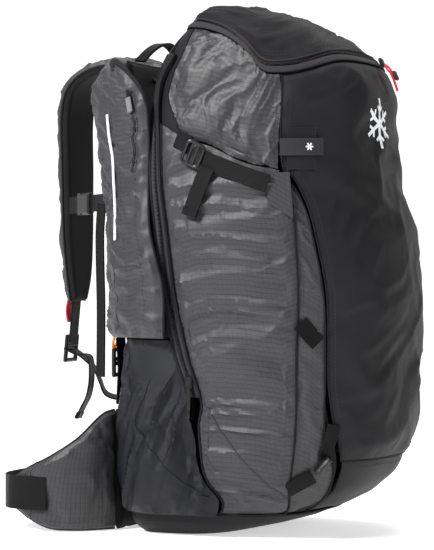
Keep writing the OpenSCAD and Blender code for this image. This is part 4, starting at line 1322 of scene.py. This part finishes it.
def build_sliders():
    p = skin(287.0, 531.0, -3.5)
    lean = math.radians(-24)
    down = np.array([0, math.sin(lean), -math.cos(lean)])
    out = np.array([0, -math.cos(lean), -math.sin(lean)])
    body = brick((9, 12, 4), 1.5, p + out * 2, (1, 0, 0), -down)
    loop_points = [p + out * 4 + down * 3, p + out * 7 + down * 9 + (3, 0, 0),
                   p + out * 8 + down * 17 + (1, 0, 0), p + out * 6 + down * 11 + (-3, 0, 0),
                   p + out * 4 + down * 3]
    cord = tube(curve(loop_points, 1.5), 1.2)
    end = tube(curve([p + out * 7 + down * 15, p + out * 7 + down * 26,
                      p + out * 6 + down * 38], 2), 1.4)
    pull = brick((8, 12, 4), 1.4, p + out * 10 + down * 20 + (3, 0, 0), (1, 0, 0), -down)
    dress("front_zip_slider", [(body, PLASTIC), (cord, RED_CORD), (end, RED_CORD),
                               (pull, ZIP_TAPE)])
    angle = float(smooth(ZIP_SEAM, 172.0)) - 2
    p = skin(angle, 172.0, -5.0)
    car = brick((8, 13, 3.4), 1.2, p + (1.2, 0, 0), (0, 1, 0), (0, 0.25, 1))
    hang = brick((5, 25, 2.2), 1.0, p + (-1.2, -1, -18), (0, 1, 0), (0, 0.1, 1))
    dress_pair("main_zip_slider", [(car, PLASTIC), (hang, PLASTIC)])


def build_trigger():
    finish_cad("trigger_handle", RED, 0.0012)
    tail = tube(curve([(-88, 102, 222), (-90, 104, 214), (-86, 106, 206), (-84, 103, 212)], 2),
                1.5)
    piece("trigger_cord_end", "pack", [(tail, ORANGE)])


# ---- inside of the bag ------------------------------------------------------------------------


def build_inside():
    phi = np.linspace(0, 360, 121)
    z = np.array([452, 458, 470, 484, 498, 512, 525, 538, 550, 560, 568, 575, 580, 582.0])
    g = np.stack([skin(phi, np.full(len(phi), h), 17) for h in z])
    u, v = lengths(g)
    folds = 2.6 * np.sin(v / 3.2 + 0.8 * noise(u / 40, v / 30, 111))
    folds[:, -1] = folds[:, 0]
    side = lift(g, folds - 3)
    side[:, -1] = side[:, 0]
    caps = [np.stack([mix(side[k].mean(0), side[k], s) for s in (0.02, 0.5, 1)]) for k in (0, -1)]
    dress("folded_airbag", [(one_sided(side), AIRBAG), (one_sided(caps[0]), AIRBAG),
                            (inward(caps[1]), AIRBAG)])
    hard = {"frame_sheet": CASE, "frame_stays": METAL, "air_duct": CASE, "fan_housing": CASE,
            "fan_motor": METAL, "inlet_grille": CASE, "battery_pack": CASE,
            "control_unit": CASE, "power_cable": PLASTIC, "trigger_cable": PLASTIC,
            "trigger_socket": PLASTIC, "fan_rotor": CASE, "power_button": WHITE}
    for name, mat in hard.items():
        finish_cad(name, mat)
    for name, mat in {"module_wall": BLACK_CLOTH, "tool_sleeve": GREY_RIPSTOP,
                      "airbag_tray": BLACK_CLOTH}.items():
        finish_cad(name, mat)


# ---- camera, light and floor -------------------------------------------------------------------


CAMERA_SPOT = (-2.3623, -1.0862, 0.2897)
CAMERA_TURN = -65
CAMERA_LENS = 147
BACKGROUND, SEEN_BACKGROUND = 0.12, 0.9
FLOOR_GLOW = 0.55
FLOOR_DROP = 0.0005
FLOOR_CURVE = 2
LIGHTS = [("key", (-1.7, 0.9, 1.9), 0.8, 125), ("front", (-0.6, -2.6, 0.9), 1.2, 22),
          ("top", (0.5, -0.3, 2.3), 1.0, 30)]


def build_camera():
    cam = add_object("camera", bpy.data.cameras.new("camera"))
    cam.location = CAMERA_SPOT
    cam.rotation_euler = (math.radians(90), 0, math.radians(CAMERA_TURN))
    cam.data.sensor_width = 36
    cam.data.lens = CAMERA_LENS
    bpy.context.scene.camera = cam


def build_light():
    world = bpy.data.worlds.new("studio")
    bpy.context.scene.world = world
    world.use_nodes = True
    tree = world.node_tree
    tree.nodes["Background"].inputs["Color"].default_value = (1, 1, 1, 1)
    seen = node(tree, "ShaderNodeLightPath").outputs["Is Camera Ray"]
    strength = plus(tree, BACKGROUND, times(tree, seen, SEEN_BACKGROUND))
    tree.links.new(strength, tree.nodes["Background"].inputs["Strength"])
    for name, spot, size, power in LIGHTS:
        data = bpy.data.lights.new(name, "AREA")
        data.size = size
        data.energy = power
        lamp = add_object(name, data)
        lamp.location = spot
        lamp.rotation_euler = (Vector((0, 0, 0.3)) - Vector(spot)).to_track_quat(
            "-Z", "Y").to_euler()
    bpy.context.scene.view_settings.view_transform = "Standard"


def build_floor():
    paper, _, shader = new_material("paper")
    shader.inputs["Base Color"].default_value = (0.92, 0.92, 0.92, 1)
    shader.inputs["Roughness"].default_value = 0.9
    shader.inputs["Emission Color"].default_value = (1, 1, 1, 1)
    shader.inputs["Emission Strength"].default_value = FLOOR_GLOW
    side = np.linspace(-6, 6, 3)
    r, drop = FLOOR_CURVE, FLOOR_DROP
    profile = [(-5, -drop), (3, -drop)] + [
        (3 + r * math.sin(a), r - r * math.cos(a) - drop) for a in
        np.linspace(0.1, math.pi / 2, 12)] + [(5, 6)]
    # Sweeps along the camera's line of sight, flat under the bag and curving up behind it
    ahead = np.array([0.9063, 0.4226, 0.0])
    across = np.array([0.4226, -0.9063, 0.0])
    rows = [[tuple(ahead * d + across * s + np.array([0, 0, h])) for s in side]
            for d, h in profile]
    data = bpy.data.meshes.new("floor")
    points = [p for row in rows for p in row]
    data.from_pydata(points, [], grid_faces(len(rows), len(side)))
    data.materials.append(paper)
    data.polygons.foreach_set("use_smooth", [True] * len(data.polygons))
    add_object("floor", data)


for build in (build_camera, build_light, build_floor, build_side_panel, build_gusset,
              build_wing_pillow, build_front_panel, build_lower_front_panel, build_base, build_zip_band,
              build_airbag_cover, build_main_zip, build_back_shell, build_side_cover,
              build_back_pads, build_shoulder_straps, build_strap_webbing, build_sternum,
              build_hip_belt, build_compression, build_lower_straps, build_gear_tag,
              build_haul_loop, build_sliders, build_trigger, build_inside):
    build()
